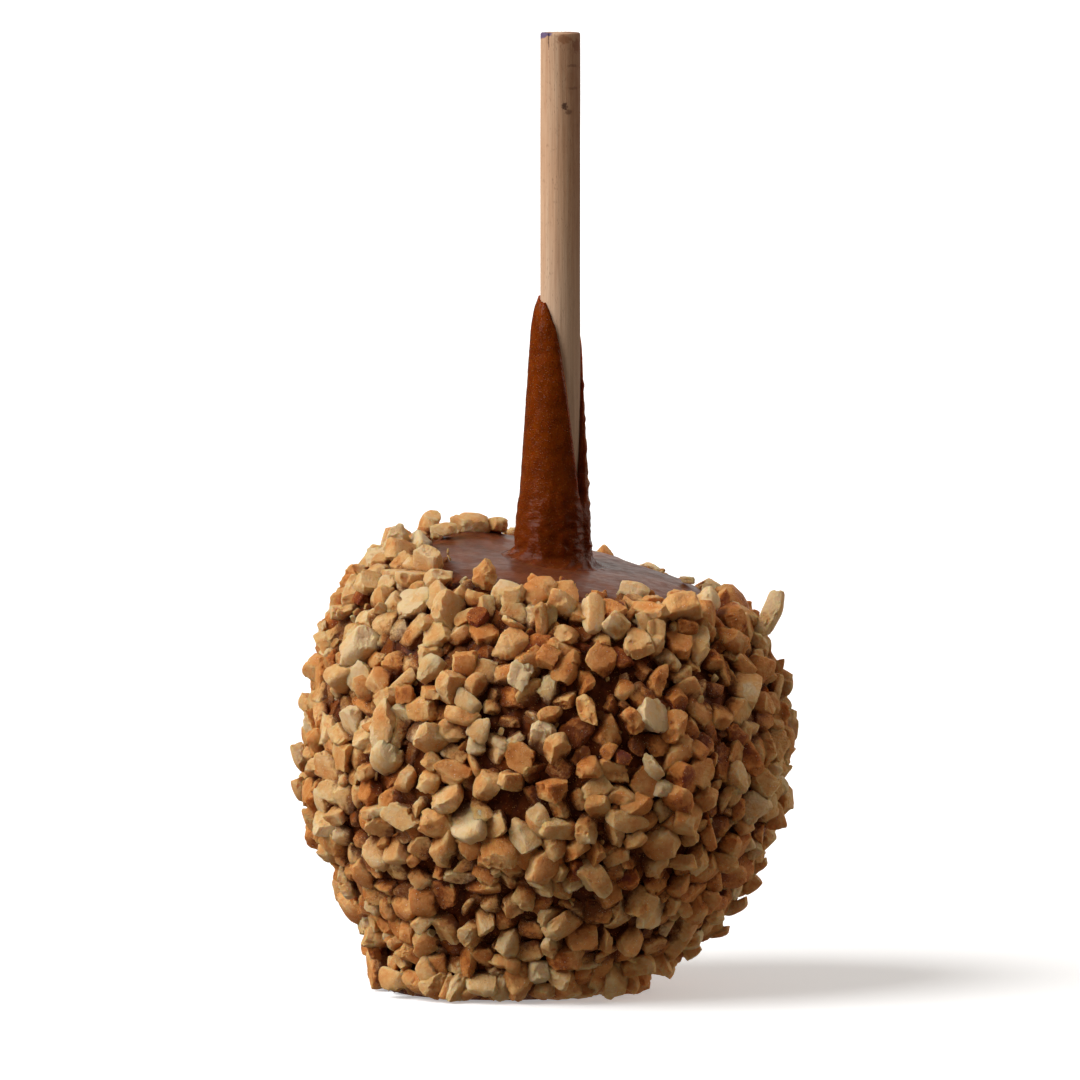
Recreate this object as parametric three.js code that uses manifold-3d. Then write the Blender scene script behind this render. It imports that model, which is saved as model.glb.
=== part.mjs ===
// Caramel apple on a dowel, rolled in chopped peanuts.
// Millimetres, +Z up. The model is built about the dowel's axis and then moved so that the
// origin is the bottom centre of the whole object. Three solids:
//   stick         the birch dowel, pushed down into the fruit
//   caramel_coat  the caramel-covered fruit, one solid, with the sleeve of caramel that runs up the dowel
//   nut_coating   the layer of chopped peanuts round the sides, out to its uneven outline
import * as THREE from "three";
import { mergeVertices } from "three/addons/utils/BufferGeometryUtils.js";
import Module from "manifold-3d";

const wasm = await Module();
wasm.setup();

// ---- Driving dimensions (mm) --------------------------------------------------------------
const STICK_D = 6.35; // quarter-inch dowel
const STICK_LEN = 139.7; // five and a half inches
const STICK_TOP_Z = 153.4; // end of the dowel above the table
const STICK_CHAMFER = 0.25;
const STICK_SIDES = 48;
const GAP = 0.3; // clearance between neighbouring solids

const FOOT_R = 16.4; // flat foot of caramel that the apple stands on
const BELLY_R = 35.6; // widest radius of the caramel coat
const BELLY_Z = 33; // height of that widest ring
const CROWN_Z = 68.9; // height of the caramel at the dowel
const CROWN_DOME = 3.2; // how much of that height is the doming of the crown
const FLANK_POWER = 1.52; // lower flank: how full it is between foot and belly
const SHOULDER_POWER = 5; // shoulder: exponent on the radius
const CROWN_POWER = 2.7; // shoulder: exponent on the height
const FOOT_SHIFT_X = -10.4; // centre of the foot from the dowel's axis
const BELLY_SHIFT_X = -2.8; // centre of the belly from the dowel's axis
const SHOULDER_LEAN = 0.1; // sideways shift to the right for each mm above the belly
const FOOT_SHIFT_Z = 12; // the centre has moved over to the belly's by this height
const CROWN_TILT_X = 0.135; // slope of the crown: left side up, right side down
const CROWN_TILT_Y = 0.07; // slope of the crown: back up, front down
const KNOB_H = 2.4; // the shoulder stands up in a knob at the back left
const KNOB_AT = THREE.MathUtils.degToRad(128);
const KNOB_FROM_R = 7;
const KNOB_FULL_R = 24;
const TILT_FROM_Z = 20;
const TILT_FULL_Z = 60;
const LOBES = [
  // harmonic, amplitude, phase: a fruit is not quite round
  [2, 0.01, 0.6],
  [3, 0.01, 2.1],
  [5, 0.008, 0.3],
];

const RIM_R = 21.8; // where the nuts stop on the crown, from the dowel's axis
const RIM_SKEW = 4.2; // the bare patch reaches further to the back right
const RIM_SKEW_AT = THREE.MathUtils.degToRad(50);
const RIM_WAVES = [
  [3, 0.9, 1.0],
  [7, 0.8, 2.4],
  [11, 0.5, 0.2],
];

const NUT_T = 4.1; // mean thickness of the nut layer
const NUT_EDGE_T = 2.4; // thickness at its upper edge
const NUT_FOOT_T = 1.8; // thickness beside the foot
const NUT_BUMP = 1.3; // height of its bumps above and below the mean
const NUT_CELL = 6.6; // spacing of those bumps
const NUT_LIFT = 0.4; // the lowest nuts stop this far above the table

const SLEEVE_BASE_T = 2.85; // mean thickness of the caramel on the dowel at the crown
const SLEEVE_TAPER = 0.058; // loss of that thickness for each mm up
const SLEEVE_SKEW = 1.2; // extra thickness on the left, and loss on the right
const SLEEVE_SKEW_TAPER = 0.0075;
const SLEEVE_LIP_T = 0.5;
const SLEEVE_HIGH_Z = 110.4; // where it ends on the left and at the back
const SLEEVE_LOW_Z = 79.6; // bottom of the bare notch in front
const NOTCH_AT = THREE.MathUtils.degToRad(-41); // direction of the notch, from +X towards the front
const NOTCH_W_LEFT = THREE.MathUtils.degToRad(38);
const NOTCH_W_RIGHT = THREE.MathUtils.degToRad(48);
const NOTCH_POWER = 1.5;
const SLEEVE_FLARE = 1.2; // fillet where the sleeve meets the crown
const SLEEVE_FLARE_H = 1.6;

const AROUND = 64; // divisions round the fruit
const BAND_RINGS = 14; // rings of the coat under the nuts
const NUT_RINGS = 26; // rings of the nut layer's outside
const CAP_RINGS = 5; // rings of the bare crown
const SLEEVE_AROUND = 36;
const SLEEVE_RINGS = 14;

// ---- Helpers ------------------------------------------------------------------------------
const clamp01 = (t) => Math.min(1, Math.max(0, t));
const smooth = (a, b, x) => {
  const t = clamp01((x - a) / (b - a));
  return t * t * (3 - 2 * t);
};
const mix = (a, b, t) => a + (b - a) * t;
// A repeatable value from 0 to 1 for three whole numbers.
function hash(i, j, k) {
  let h = Math.imul(i, 374761393) ^ Math.imul(j, 668265263) ^ Math.imul(k, 2147483647);
  h = Math.imul(h ^ (h >>> 13), 1274126177);
  h = Math.imul(h ^ (h >>> 16), 2246822519);
  return ((h ^ (h >>> 15)) >>> 0) / 4294967295;
}

// ---- The caramel surface ------------------------------------------------------------------
const lobe = (u) => LOBES.reduce((s, [n, a, p]) => s + a * Math.cos(n * u + p), 1);

// Radius and height on the untilted profile: s is -1 at the foot, 0 at the belly and 1 at the crown's centre.
function profile(s) {
  if (s < 0) {
    const w = Math.min(1, -s);
    return { r: FOOT_R + (BELLY_R - FOOT_R) * (1 - w ** FLANK_POWER), z: BELLY_Z * (1 - w) };
  }
  const t = (Math.min(1, s) * Math.PI) / 2;
  return {
    r: BELLY_R * Math.max(0, Math.cos(t)) ** (2 / SHOULDER_POWER),
    z:
      BELLY_Z +
      (CROWN_Z - CROWN_DOME - BELLY_Z) * Math.sin(t) ** (2 / CROWN_POWER) +
      CROWN_DOME * (1 - Math.cos(t) ** (4 / SHOULDER_POWER)),
  };
}

// A point of the caramel coat in direction u at station s.
function coat(u, s) {
  const { r, z } = profile(s);
  const side =
    mix(FOOT_SHIFT_X, BELLY_SHIFT_X, smooth(0, FOOT_SHIFT_Z, z)) + SHOULDER_LEAN * Math.max(0, z - BELLY_Z);
  const shift = s > 0 ? side * smooth(0, 0.72 * BELLY_R, r) : side; // the crown's rings centre on the dowel
  const round = mix(1, lobe(u), smooth(2, 16, r));
  const x = shift + r * round * Math.cos(u);
  const y = r * round * Math.sin(u);
  const knob = KNOB_H * smooth(KNOB_FROM_R, KNOB_FULL_R, r) * Math.max(0, Math.cos(u - KNOB_AT)) ** 2;
  const tilt = y * CROWN_TILT_Y - x * CROWN_TILT_X + knob;
  return new THREE.Vector3(x, y, z + tilt * smooth(TILT_FROM_Z, TILT_FULL_Z, z));
}

function coatNormal(u, s) {
  const e = 1e-3;
  const du = coat(u + e, s).sub(coat(u - e, s));
  const ds = coat(u, Math.min(0.995, s + e)).sub(coat(u, Math.max(-1, s - e)));
  return du.cross(ds).normalize();
}

// Station of the nut layer's upper edge in direction u.
function rimStation(u) {
  const wave = RIM_WAVES.reduce((s, [n, a, p]) => s + a * Math.cos(n * u + p), 0);
  const r = RIM_R + RIM_SKEW * Math.cos(u - RIM_SKEW_AT) + wave;
  return Math.acos((r / BELLY_R) ** (SHOULDER_POWER / 2)) / (Math.PI / 2);
}

// Height of the nut layer's bumps at a point: rounded lumps on a jittered lattice of cells.
function bumps(p) {
  const [i, j, k] = [p.x, p.y, p.z].map((c) => Math.floor(c / NUT_CELL));
  let best = -1;
  for (let a = i - 1; a <= i + 1; a++)
    for (let b = j - 1; b <= j + 1; b++)
      for (let c = k - 1; c <= k + 1; c++) {
        const seed = new THREE.Vector3(
          a + hash(a, b, c),
          b + hash(b, c, a + 57),
          c + hash(c, a, b + 113),
        ).multiplyScalar(NUT_CELL);
        const size = NUT_CELL * mix(0.55, 0.85, hash(a + 7, b + 3, c + 5));
        const d = seed.distanceTo(p) / size;
        best = Math.max(best, (1 - d * d) * mix(0.6, 1.3, hash(a + 31, c, b)));
      }
  return Math.max(-1, Math.min(1, best * 2 - 0.7));
}

// ---- Mesh building ------------------------------------------------------------------------
// Rings of equal length, joined in order. With poles, the first and last rings are closed by a point each;
// without, the last ring joins the first.
function skin(rings, bottom, top) {
  const n = rings[0].length;
  const pos = [];
  const idx = [];
  for (const ring of rings) for (const p of ring) pos.push(p.x, p.y, p.z);
  const loops = bottom ? rings.length - 1 : rings.length;
  for (let r = 0; r < loops; r++)
    for (let i = 0; i < n; i++) {
      const a = r * n + i;
      const b = r * n + ((i + 1) % n);
      const c = ((r + 1) % rings.length) * n + ((i + 1) % n);
      const d = ((r + 1) % rings.length) * n + i;
      // the shorter diagonal follows the bumps better
      const P = (q) => new THREE.Vector3(pos[3 * q], pos[3 * q + 1], pos[3 * q + 2]);
      if (P(a).distanceTo(P(c)) <= P(b).distanceTo(P(d))) idx.push(a, b, c, a, c, d);
      else idx.push(a, b, d, b, c, d);
    }
  if (bottom) {
    const lo = pos.length / 3;
    pos.push(bottom.x, bottom.y, bottom.z, top.x, top.y, top.z);
    for (let i = 0; i < n; i++) {
      idx.push(lo, (i + 1) % n, i);
      idx.push(lo + 1, (rings.length - 1) * n + i, (rings.length - 1) * n + ((i + 1) % n));
    }
  }
  const g = new THREE.BufferGeometry();
  g.setAttribute("position", new THREE.Float32BufferAttribute(pos, 3));
  g.setIndex(idx);
  return g;
}

function toSolid(geometry) {
  const g = geometry.clone();
  g.deleteAttribute("normal");
  g.deleteAttribute("uv");
  const m = mergeVertices(g, 1e-4);
  return new wasm.Manifold(
    new wasm.Mesh({
      numProp: 3,
      vertProperties: new Float32Array(m.attributes.position.array),
      triVerts: new Uint32Array(m.index.array),
    }),
  );
}

function toGeometry(solid) {
  const m = solid.getMesh();
  const v = new Float32Array(m.numVert * 3);
  for (let i = 0; i < m.numVert; i++)
    v.set(m.vertProperties.subarray(i * m.numProp, i * m.numProp + 3), i * 3);
  const g = new THREE.BufferGeometry();
  g.setAttribute("position", new THREE.BufferAttribute(v, 3));
  g.setIndex(new THREE.BufferAttribute(new Uint32Array(m.triVerts), 1));
  g.computeVertexNormals();
  return g;
}

const angles = (n) => Array.from({ length: n }, (_, i) => (i * 2 * Math.PI) / n);

// ---- Stick --------------------------------------------------------------------------------
function stickGeometry() {
  const r = STICK_D / 2;
  const c = STICK_CHAMFER;
  return new THREE.LatheGeometry(
    [
      new THREE.Vector2(0, 0),
      new THREE.Vector2(r - c, 0),
      new THREE.Vector2(r, c),
      new THREE.Vector2(r, STICK_LEN - c),
      new THREE.Vector2(r - c, STICK_LEN),
      new THREE.Vector2(0, STICK_LEN),
    ],
    STICK_SIDES,
  ).rotateX(Math.PI / 2);
}

// ---- Caramel coat with its sleeve -----------------------------------------------------------
// Stations of the coat under the nuts: closer together over the shoulder.
function bandStation(u, j) {
  const t = j / BAND_RINGS;
  return mix(-1, rimStation(u), t);
}

function bodyGeometry() {
  const us = angles(AROUND);
  const rings = [];
  for (let j = 0; j <= BAND_RINGS; j++) rings.push(us.map((u) => coat(u, bandStation(u, j))));
  for (let j = 1; j <= CAP_RINGS; j++) {
    const t = j / (CAP_RINGS + 1);
    rings.push(
      us.map((u) => {
        const edge = profile(rimStation(u)).r;
        const r = edge * (1 - t);
        return coat(u, Math.acos((r / BELLY_R) ** (SHOULDER_POWER / 2)) / (Math.PI / 2));
      }),
    );
  }
  for (const p of rings[0]) p.z = 0;
  return skin(rings, new THREE.Vector3(FOOT_SHIFT_X, 0, 0), coat(0, 1));
}

// Signed turn from the notch, from -PI to PI.
const fromNotch = (a) => Math.atan2(Math.sin(a - NOTCH_AT), Math.cos(a - NOTCH_AT));

function sleeveTop(a) {
  const d = fromNotch(a);
  const w = d < 0 ? NOTCH_W_LEFT : NOTCH_W_RIGHT;
  const drop = Math.exp(-((Math.abs(d) / w) ** NOTCH_POWER));
  return SLEEVE_HIGH_Z - (SLEEVE_HIGH_Z - SLEEVE_LOW_Z) * drop;
}

function sleeveRadius(a, z) {
  const up = Math.max(0, z - CROWN_Z);
  const mean = Math.max(0.6, SLEEVE_BASE_T - SLEEVE_TAPER * up);
  const skew = Math.max(0.2, SLEEVE_SKEW - SLEEVE_SKEW_TAPER * up);
  const left = -Math.cos(a);
  const below = sleeveTop(a) - z; // distance under the upper edge
  const thin = 1 - 0.75 * Math.exp(-below / 6);
  const t = Math.max(SLEEVE_LIP_T, (mean + skew * left) * thin);
  return STICK_D / 2 + GAP + Math.max(SLEEVE_LIP_T, t) + SLEEVE_FLARE * Math.exp(-up / SLEEVE_FLARE_H);
}

function sleeveGeometry() {
  const as = angles(SLEEVE_AROUND);
  const from = CROWN_Z - 6;
  const rings = [];
  for (let j = 0; j <= SLEEVE_RINGS; j++) {
    const t = (j / SLEEVE_RINGS) ** 1.35; // closer together at the fillet
    rings.push(
      as.map((a) => {
        const z = mix(from, sleeveTop(a), t);
        const r = j === 0 ? STICK_D / 2 + 2 : sleeveRadius(a, z);
        return new THREE.Vector3(r * Math.cos(a), r * Math.sin(a), z);
      }),
    );
  }
  return skin(rings, new THREE.Vector3(0, 0, from), new THREE.Vector3(0, 0, (SLEEVE_HIGH_Z + SLEEVE_LOW_Z) / 2));
}

function boreGeometry() {
  const r = STICK_D / 2 + GAP;
  const h = STICK_LEN + 2 * GAP;
  return new THREE.CylinderGeometry(r, r, h, STICK_SIDES)
    .rotateX(Math.PI / 2)
    .translate(0, 0, STICK_TOP_Z - STICK_LEN - GAP + h / 2);
}

function coatGeometry() {
  const solid = toSolid(bodyGeometry()).add(toSolid(sleeveGeometry())).subtract(toSolid(boreGeometry()));
  return toGeometry(solid);
}

// ---- Nut layer ----------------------------------------------------------------------------
function nutGeometry() {
  const us = angles(AROUND);
  const rings = [];
  const lifted = (u, s, lift) => {
    const p = coat(u, s).addScaledVector(coatNormal(u, s), lift);
    p.z = Math.max(NUT_LIFT, p.z);
    return p;
  };
  // inside, from the upper edge down
  for (let j = BAND_RINGS; j >= 0; j--)
    rings.push(
      us.map((u) => {
        if (j > 0) return lifted(u, bandStation(u, j), GAP);
        const p = coat(u, -1 + NUT_LIFT / BELLY_Z);
        const out = coatNormal(u, -0.99).setZ(0).normalize();
        return p.addScaledVector(out, 2 * GAP).setZ(NUT_LIFT);
      }),
    );
  // outside, from the foot up; the first ring lies flat, just above the table
  for (let j = 0; j <= NUT_RINGS; j++)
    rings.push(
      us.map((u) => {
        const t = j / NUT_RINGS;
        const s = mix(-1, rimStation(u), t);
        const p = coat(u, s);
        const edge = smooth(0, 0.1, 1 - t);
        const mean = Math.min(mix(NUT_EDGE_T, NUT_T, edge), mix(NUT_FOOT_T, NUT_T, smooth(0, 0.2, t)));
        const lift = mean + NUT_BUMP * bumps(p) * mix(0.45, 1, smooth(0, 0.1, Math.min(t, 1 - t)));
        return lifted(u, s, lift);
      }),
    );
  return skin(rings);
}

// ---- Scene graph ----------------------------------------------------------------------------
const wood = new THREE.MeshStandardMaterial({ name: "wood", color: 0xc39a6b, roughness: 0.75, metalness: 0 });
const caramel = new THREE.MeshStandardMaterial({ name: "caramel", color: 0x6b3312, roughness: 0.38, metalness: 0 });
const nuts = new THREE.MeshStandardMaterial({ name: "peanuts", color: 0xc08a4a, roughness: 0.6, metalness: 0 });

const object = new THREE.Group();

const stick = new THREE.Mesh(stickGeometry(), wood);
stick.name = "stick";
stick.position.z = STICK_TOP_Z - STICK_LEN;
object.add(stick);

const coatMesh = new THREE.Mesh(coatGeometry(), caramel);
coatMesh.name = "caramel_coat";
object.add(coatMesh);

const nutMesh = new THREE.Mesh(nutGeometry(), nuts);
nutMesh.name = "nut_coating";
object.add(nutMesh);

// The origin is the bottom centre of the whole.
const whole = new THREE.Box3().setFromObject(object);
const middle = whole.getCenter(new THREE.Vector3());
object.position.set(-middle.x, -middle.y, 0);

const root = new THREE.Group();
root.add(object);
export default root;
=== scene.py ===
import math

import bmesh
import bpy
import numpy as np
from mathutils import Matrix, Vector
from mathutils.bvhtree import BVHTree


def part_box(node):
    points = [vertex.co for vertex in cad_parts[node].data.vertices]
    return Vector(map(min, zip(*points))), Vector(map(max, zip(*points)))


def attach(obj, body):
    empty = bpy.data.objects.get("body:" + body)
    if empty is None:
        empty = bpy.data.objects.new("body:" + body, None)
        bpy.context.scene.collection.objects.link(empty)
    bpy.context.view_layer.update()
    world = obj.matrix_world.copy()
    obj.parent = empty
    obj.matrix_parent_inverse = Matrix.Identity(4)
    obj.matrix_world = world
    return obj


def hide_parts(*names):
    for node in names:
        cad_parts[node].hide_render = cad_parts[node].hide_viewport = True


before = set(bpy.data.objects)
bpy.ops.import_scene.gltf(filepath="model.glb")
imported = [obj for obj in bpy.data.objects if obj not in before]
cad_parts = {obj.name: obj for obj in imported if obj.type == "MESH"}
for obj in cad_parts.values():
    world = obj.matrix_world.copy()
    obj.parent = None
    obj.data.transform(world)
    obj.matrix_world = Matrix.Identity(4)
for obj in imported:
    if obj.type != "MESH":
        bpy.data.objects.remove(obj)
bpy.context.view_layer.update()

MM = 0.001
rng = np.random.default_rng(20)

# The dowel's axis in the row frame, in mm. Everything below is built about it, in mm.
_lo, _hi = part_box("stick")
AXIS = np.array([(_lo.x + _hi.x) / 2, (_lo.y + _hi.y) / 2, 0.0]) / MM
STICK_LOW, STICK_TOP = _lo.z / MM, _hi.z / MM
STICK_R = (_hi.x - _lo.x) / 2 / MM

# ------------------------------------------------------------------------------ the caramel's form
# The named sizes of the CAD model's coat, with the sleeve a touch slimmer and its edge finer.
FOOT_R, BELLY_R, BELLY_Z, CROWN_Z, CROWN_DOME = 16.4, 35.6, 33.0, 68.9, 3.2
FLANK_POWER, SHOULDER_POWER, CROWN_POWER = 1.52, 5.0, 2.7
FOOT_SHIFT_X, BELLY_SHIFT_X, SHOULDER_LEAN, FOOT_SHIFT_Z = -10.4, -2.8, 0.1, 12.0
CROWN_TILT_X, CROWN_TILT_Y, TILT_FROM_Z, TILT_FULL_Z = 0.135, 0.07, 20.0, 60.0
KNOB_H, KNOB_AT, KNOB_FROM_R, KNOB_FULL_R = 2.4, math.radians(128), 7.0, 24.0
LOBES = ((2, 0.01, 0.6), (3, 0.01, 2.1), (5, 0.008, 0.3))
RIM_R, RIM_SKEW, RIM_SKEW_AT = 21.8, 4.2, math.radians(50)
RIM_WAVES = ((3, 0.9, 1.0), (7, 0.8, 2.4), (11, 0.5, 0.2))
SLEEVE_BASE_T, SLEEVE_TAPER, SLEEVE_SKEW, SLEEVE_SKEW_TAPER = 2.8, 0.059, 1.05, 0.0070
SLEEVE_HIGH_Z, SLEEVE_LOW_Z, NOTCH_AT = 111.0, 79.6, math.radians(-41)
NOTCH_W_LEFT, NOTCH_W_RIGHT, NOTCH_POWER = math.radians(38), math.radians(48), 1.5


def smooth(a, b, x):
    t = np.clip((x - a) / (b - a), 0, 1)
    return t * t * (3 - 2 * t)


def lerp(a, b, t):
    return a + (b - a) * t


def profile(s):
    w = np.clip(-s, 0, 1)
    t = np.clip(s, 0, 1) * math.pi / 2
    cos, sin = np.maximum(np.cos(t), 0), np.sin(t)
    low_r = FOOT_R + (BELLY_R - FOOT_R) * (1 - w**FLANK_POWER)
    low_z = BELLY_Z * (1 - w)
    high_r = BELLY_R * cos ** (2 / SHOULDER_POWER)
    high_z = (
        BELLY_Z
        + (CROWN_Z - CROWN_DOME - BELLY_Z) * sin ** (2 / CROWN_POWER)
        + CROWN_DOME * (1 - cos ** (4 / SHOULDER_POWER))
    )
    return np.where(s < 0, low_r, high_r), np.where(s < 0, low_z, high_z)


def lobe(u):
    return 1 + sum(a * np.cos(n * u + p) for n, a, p in LOBES)


def coat(u, s):
    """Points of the coat in direction u at station s: -1 at the foot, 0 at the belly, 1 at the dowel."""
    r, z = profile(s)
    side = lerp(FOOT_SHIFT_X, BELLY_SHIFT_X, smooth(0, FOOT_SHIFT_Z, z))
    side = side + SHOULDER_LEAN * np.maximum(0, z - BELLY_Z)
    shift = np.where(s > 0, side * smooth(0, 0.72 * BELLY_R, r), side)
    around = lerp(1, lobe(u), smooth(2, 16, r))
    x = shift + r * around * np.cos(u)
    y = r * around * np.sin(u)
    knob = KNOB_H * smooth(KNOB_FROM_R, KNOB_FULL_R, r) * np.maximum(0, np.cos(u - KNOB_AT)) ** 2
    tilt = y * CROWN_TILT_Y - x * CROWN_TILT_X + knob
    return np.stack([x, y, z + tilt * smooth(TILT_FROM_Z, TILT_FULL_Z, z)], -1)


def station_at(r):
    """Station on the crown side where the profile has radius r."""
    return np.arccos(np.clip(r / BELLY_R, 0, 1) ** (SHOULDER_POWER / 2)) / (math.pi / 2)


def rim_radius(u):
    wave = sum(a * np.cos(n * u + p) for n, a, p in RIM_WAVES)
    return RIM_R + RIM_SKEW * np.cos(u - RIM_SKEW_AT) + wave


def coat_normal(u, s):
    e = 1e-3
    du = coat(u + e, s) - coat(u - e, s)
    ds = coat(u, np.minimum(0.995, s + e)) - coat(u, np.maximum(-1, s - e))
    n = np.cross(du, ds)
    return n / np.linalg.norm(n, axis=-1, keepdims=True)


def waves(seed, count, low, high):
    """A smooth random field: sines in random directions, wavelengths from low to high mm."""
    g = np.random.default_rng(seed)
    d = g.normal(size=(count, 3))
    d /= np.linalg.norm(d, axis=1, keepdims=True)
    k = d * (2 * math.pi / g.uniform(low, high, (count, 1)))
    ph = g.uniform(0, 2 * math.pi, count)
    return lambda p: np.sin(p @ k.T + ph).sum(-1) / math.sqrt(count / 2)


# ------------------------------------------------------------------------------ chopped peanut pieces
def icosphere(level):
    bm = bmesh.new()
    bmesh.ops.create_icosphere(bm, subdivisions=level, radius=1)
    v = np.array([x.co[:] for x in bm.verts])
    f = np.array([[x.index for x in y.verts] for y in bm.faces])
    bm.free()
    return v / np.linalg.norm(v, axis=1, keepdims=True), f


def decimated(v, f, ratio):
    me = bpy.data.meshes.new("tmp")
    me.from_pydata(v.tolist(), [], f.tolist())
    ob = bpy.data.objects.new("tmp", me)
    bpy.context.scene.collection.objects.link(ob)
    mod = ob.modifiers.new("d", "DECIMATE")
    mod.ratio = ratio
    mod.use_collapse_triangulate = True
    dg = bpy.context.evaluated_depsgraph_get()
    ev = ob.evaluated_get(dg).to_mesh()
    nv = np.empty(len(ev.vertices) * 3)
    ev.vertices.foreach_get("co", nv)
    nf = np.empty(len(ev.polygons) * 3, int)
    ev.polygons.foreach_get("vertices", nf)
    bpy.data.objects.remove(ob)
    bpy.data.meshes.remove(me)
    return nv.reshape(-1, 3), nf.reshape(-1, 3)


SPHERE, SPHERE_F = icosphere(5)
COARSE, COARSE_F = icosphere(3)


class Chunk:
    """One broken piece of a roasted peanut half: the kernel's rounded outside, its dished inner face
    with a groove, and the fairly flat faces that the chopping left, all with softly worn edges."""

    HALF = {  # half sizes in mm, least and most, before the faces are tilted
        "chunk": ((2.0, 2.8), (1.55, 2.15), (1.15, 1.65)),
        "block": ((1.8, 2.3), (1.5, 1.9), (1.3, 1.7)),
        "sliver": ((2.6, 3.5), (1.2, 1.6), (0.9, 1.3)),
        "wedge": ((2.2, 2.9), (1.7, 2.2), (1.2, 1.6)),
        "flake": ((2.0, 2.8), (1.7, 2.2), (0.7, 0.95)),
        "half": ((3.6, 4.6), (2.0, 2.5), (1.5, 1.8)),
    }

    def __init__(self, seed, kind, faces):
        g = np.random.default_rng(1000 + seed)
        self.kind = kind
        half = np.array([g.uniform(*r) for r in self.HALF[kind]])
        soft = g.uniform(0.04, 0.09)
        planes = []  # direction, distance, waviness

        def face(direction, spread, distance, wavy=1.0):
            n = np.array(direction, float) + g.normal(0, spread, 3)
            n /= np.linalg.norm(n)
            planes.append((n, distance, wavy * g.uniform(0.5, 1.3), int(g.integers(1 << 30)), g.normal(0, 1), g.normal(0.012, 0.025)))

        outer = (g.uniform(3.1, 4.4), half[2])  # radius and height of the kernel's outside, up +Z
        if kind == "half":
            face((1, 0, 0), 0.15, half[0] * 0.96, 0.4)
            face((-1, 0, 0), 0.3, half[0] * g.uniform(0.6, 0.9))
        else:
            spread = {"wedge": 0.42, "block": 0.24}.get(kind, 0.36)
            for d, h in (((1, 0, 0), half[0]), ((-1, 0, 0), half[0]), ((0, 1, 0), half[1]), ((0, -1, 0), half[1])):
                face(d, spread, h)
            face((0, 0, 1), 0.35, half[2] * g.uniform(1.05, 1.4))
        if kind == "wedge":
            face((g.choice([-1, 1]) * 0.8, 0, 0.7), 0.15, half[2] * g.uniform(0.7, 0.9))
            face((g.choice([-1, 1]) * 0.4, g.choice([-1, 1]) * 0.8, 0.3), 0.15, half[1] * g.uniform(0.7, 0.9))
        # worn or broken corners
        for _ in range(int(g.integers(3, 7))):
            n = g.normal(size=3)
            n[2] *= 0.8
            n /= np.linalg.norm(n)
            support = (np.abs(n) * half).sum()
            face(n, 0.0, support * g.uniform(0.62, 0.84), 1.3)
        rough = [waves(q[3], 9, 1.3, 4.0) for q in planes]
        fine = [waves(q[3] + 1, 9, 0.4, 1.1) for q in planes]
        wrinkle = waves(seed + 7, 10, 1.6, 4.0)
        groove_at, groove = g.uniform(-0.5, 0.5), g.uniform(0.1, 0.45) * (g.random() < 0.22)
        tilt = g.normal(0, 0.10, 2)
        shade = np.array([0.0, -0.3] + [q[4] for q in planes] + [0.0])

        def fields(p):
            x, y, z = p[..., 0], p[..., 1], p[..., 2]
            # the kernel is longer than wide, so its outside curves less along X
            out = [np.sqrt((x * 0.65) ** 2 + y**2 + (z + outer[0] - outer[1]) ** 2) - outer[0] + 0.03 * wrinkle(p)]
            dish = 0.10 * np.exp(-((y / 1.6) ** 2)) + groove * np.exp(-(((y - groove_at) / 0.5) ** 2))
            out.append(-z - half[2] + dish + tilt[0] * x + tilt[1] * y + 0.02 * wrinkle(p * 1.7))
            for (n, d, wavy, _, _, bulge), r, f in zip(planes, rough, fine):
                h = p @ n
                h = h - d + bulge * ((p**2).sum(-1) - h**2)
                out.append(h + wavy * (0.11 * r(p) + 0.05 * f(p)))
            # faces that meet far out don't make a spike
            out.append(((((p / (half * 1.24)) ** 6).sum(-1)) ** (1 / 6) - 1) * half.min() + 0.06 * wrinkle(p))
            return np.stack(out, 0)

        def inside(p):
            e = fields(p) / soft
            m = e.max(0)
            return soft * (m + np.log(np.exp(e - m).sum(0)))

        lo, hi = np.zeros(len(SPHERE)), np.full(len(SPHERE), 7.0)
        for _ in range(14):
            mid = (lo + hi) / 2
            out = inside(SPHERE * mid[:, None]) > 0
            lo, hi = np.where(out, lo, mid), np.where(out, mid, hi)
        v = SPHERE * ((lo + hi) / 2)[:, None]
        # centre and principal axes by surface area
        tri = v[SPHERE_F]
        area = np.linalg.norm(np.cross(tri[:, 1] - tri[:, 0], tri[:, 2] - tri[:, 0]), axis=1) / 2
        mid = tri.mean(1)
        c = (mid * area[:, None]).sum(0) / area.sum()
        cov = ((mid - c) * area[:, None]).T @ (mid - c)
        axes = np.linalg.eigh(cov)[1]  # least first
        if np.linalg.det(axes) < 0:
            axes[:, 0] *= -1
        hv, hf = decimated(v, SPHERE_F, faces / len(SPHERE_F))
        top = fields(hv[hf].mean(1)).argmax(0)
        self.surf = np.where(top == 0, 0.0, np.where(top == 1, 0.5, 1.0))
        at = fields(hv)
        weight = np.exp((at - at.max(0)) / 0.12)
        self.shade = (weight * shade[:, None]).sum(0) / weight.sum(0)
        at = np.sort(at, 0)
        self.edge = np.exp(-(at[-1] - at[-2]) / 0.22)
        self.v = (hv - c) @ axes
        self.f = hf
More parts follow.
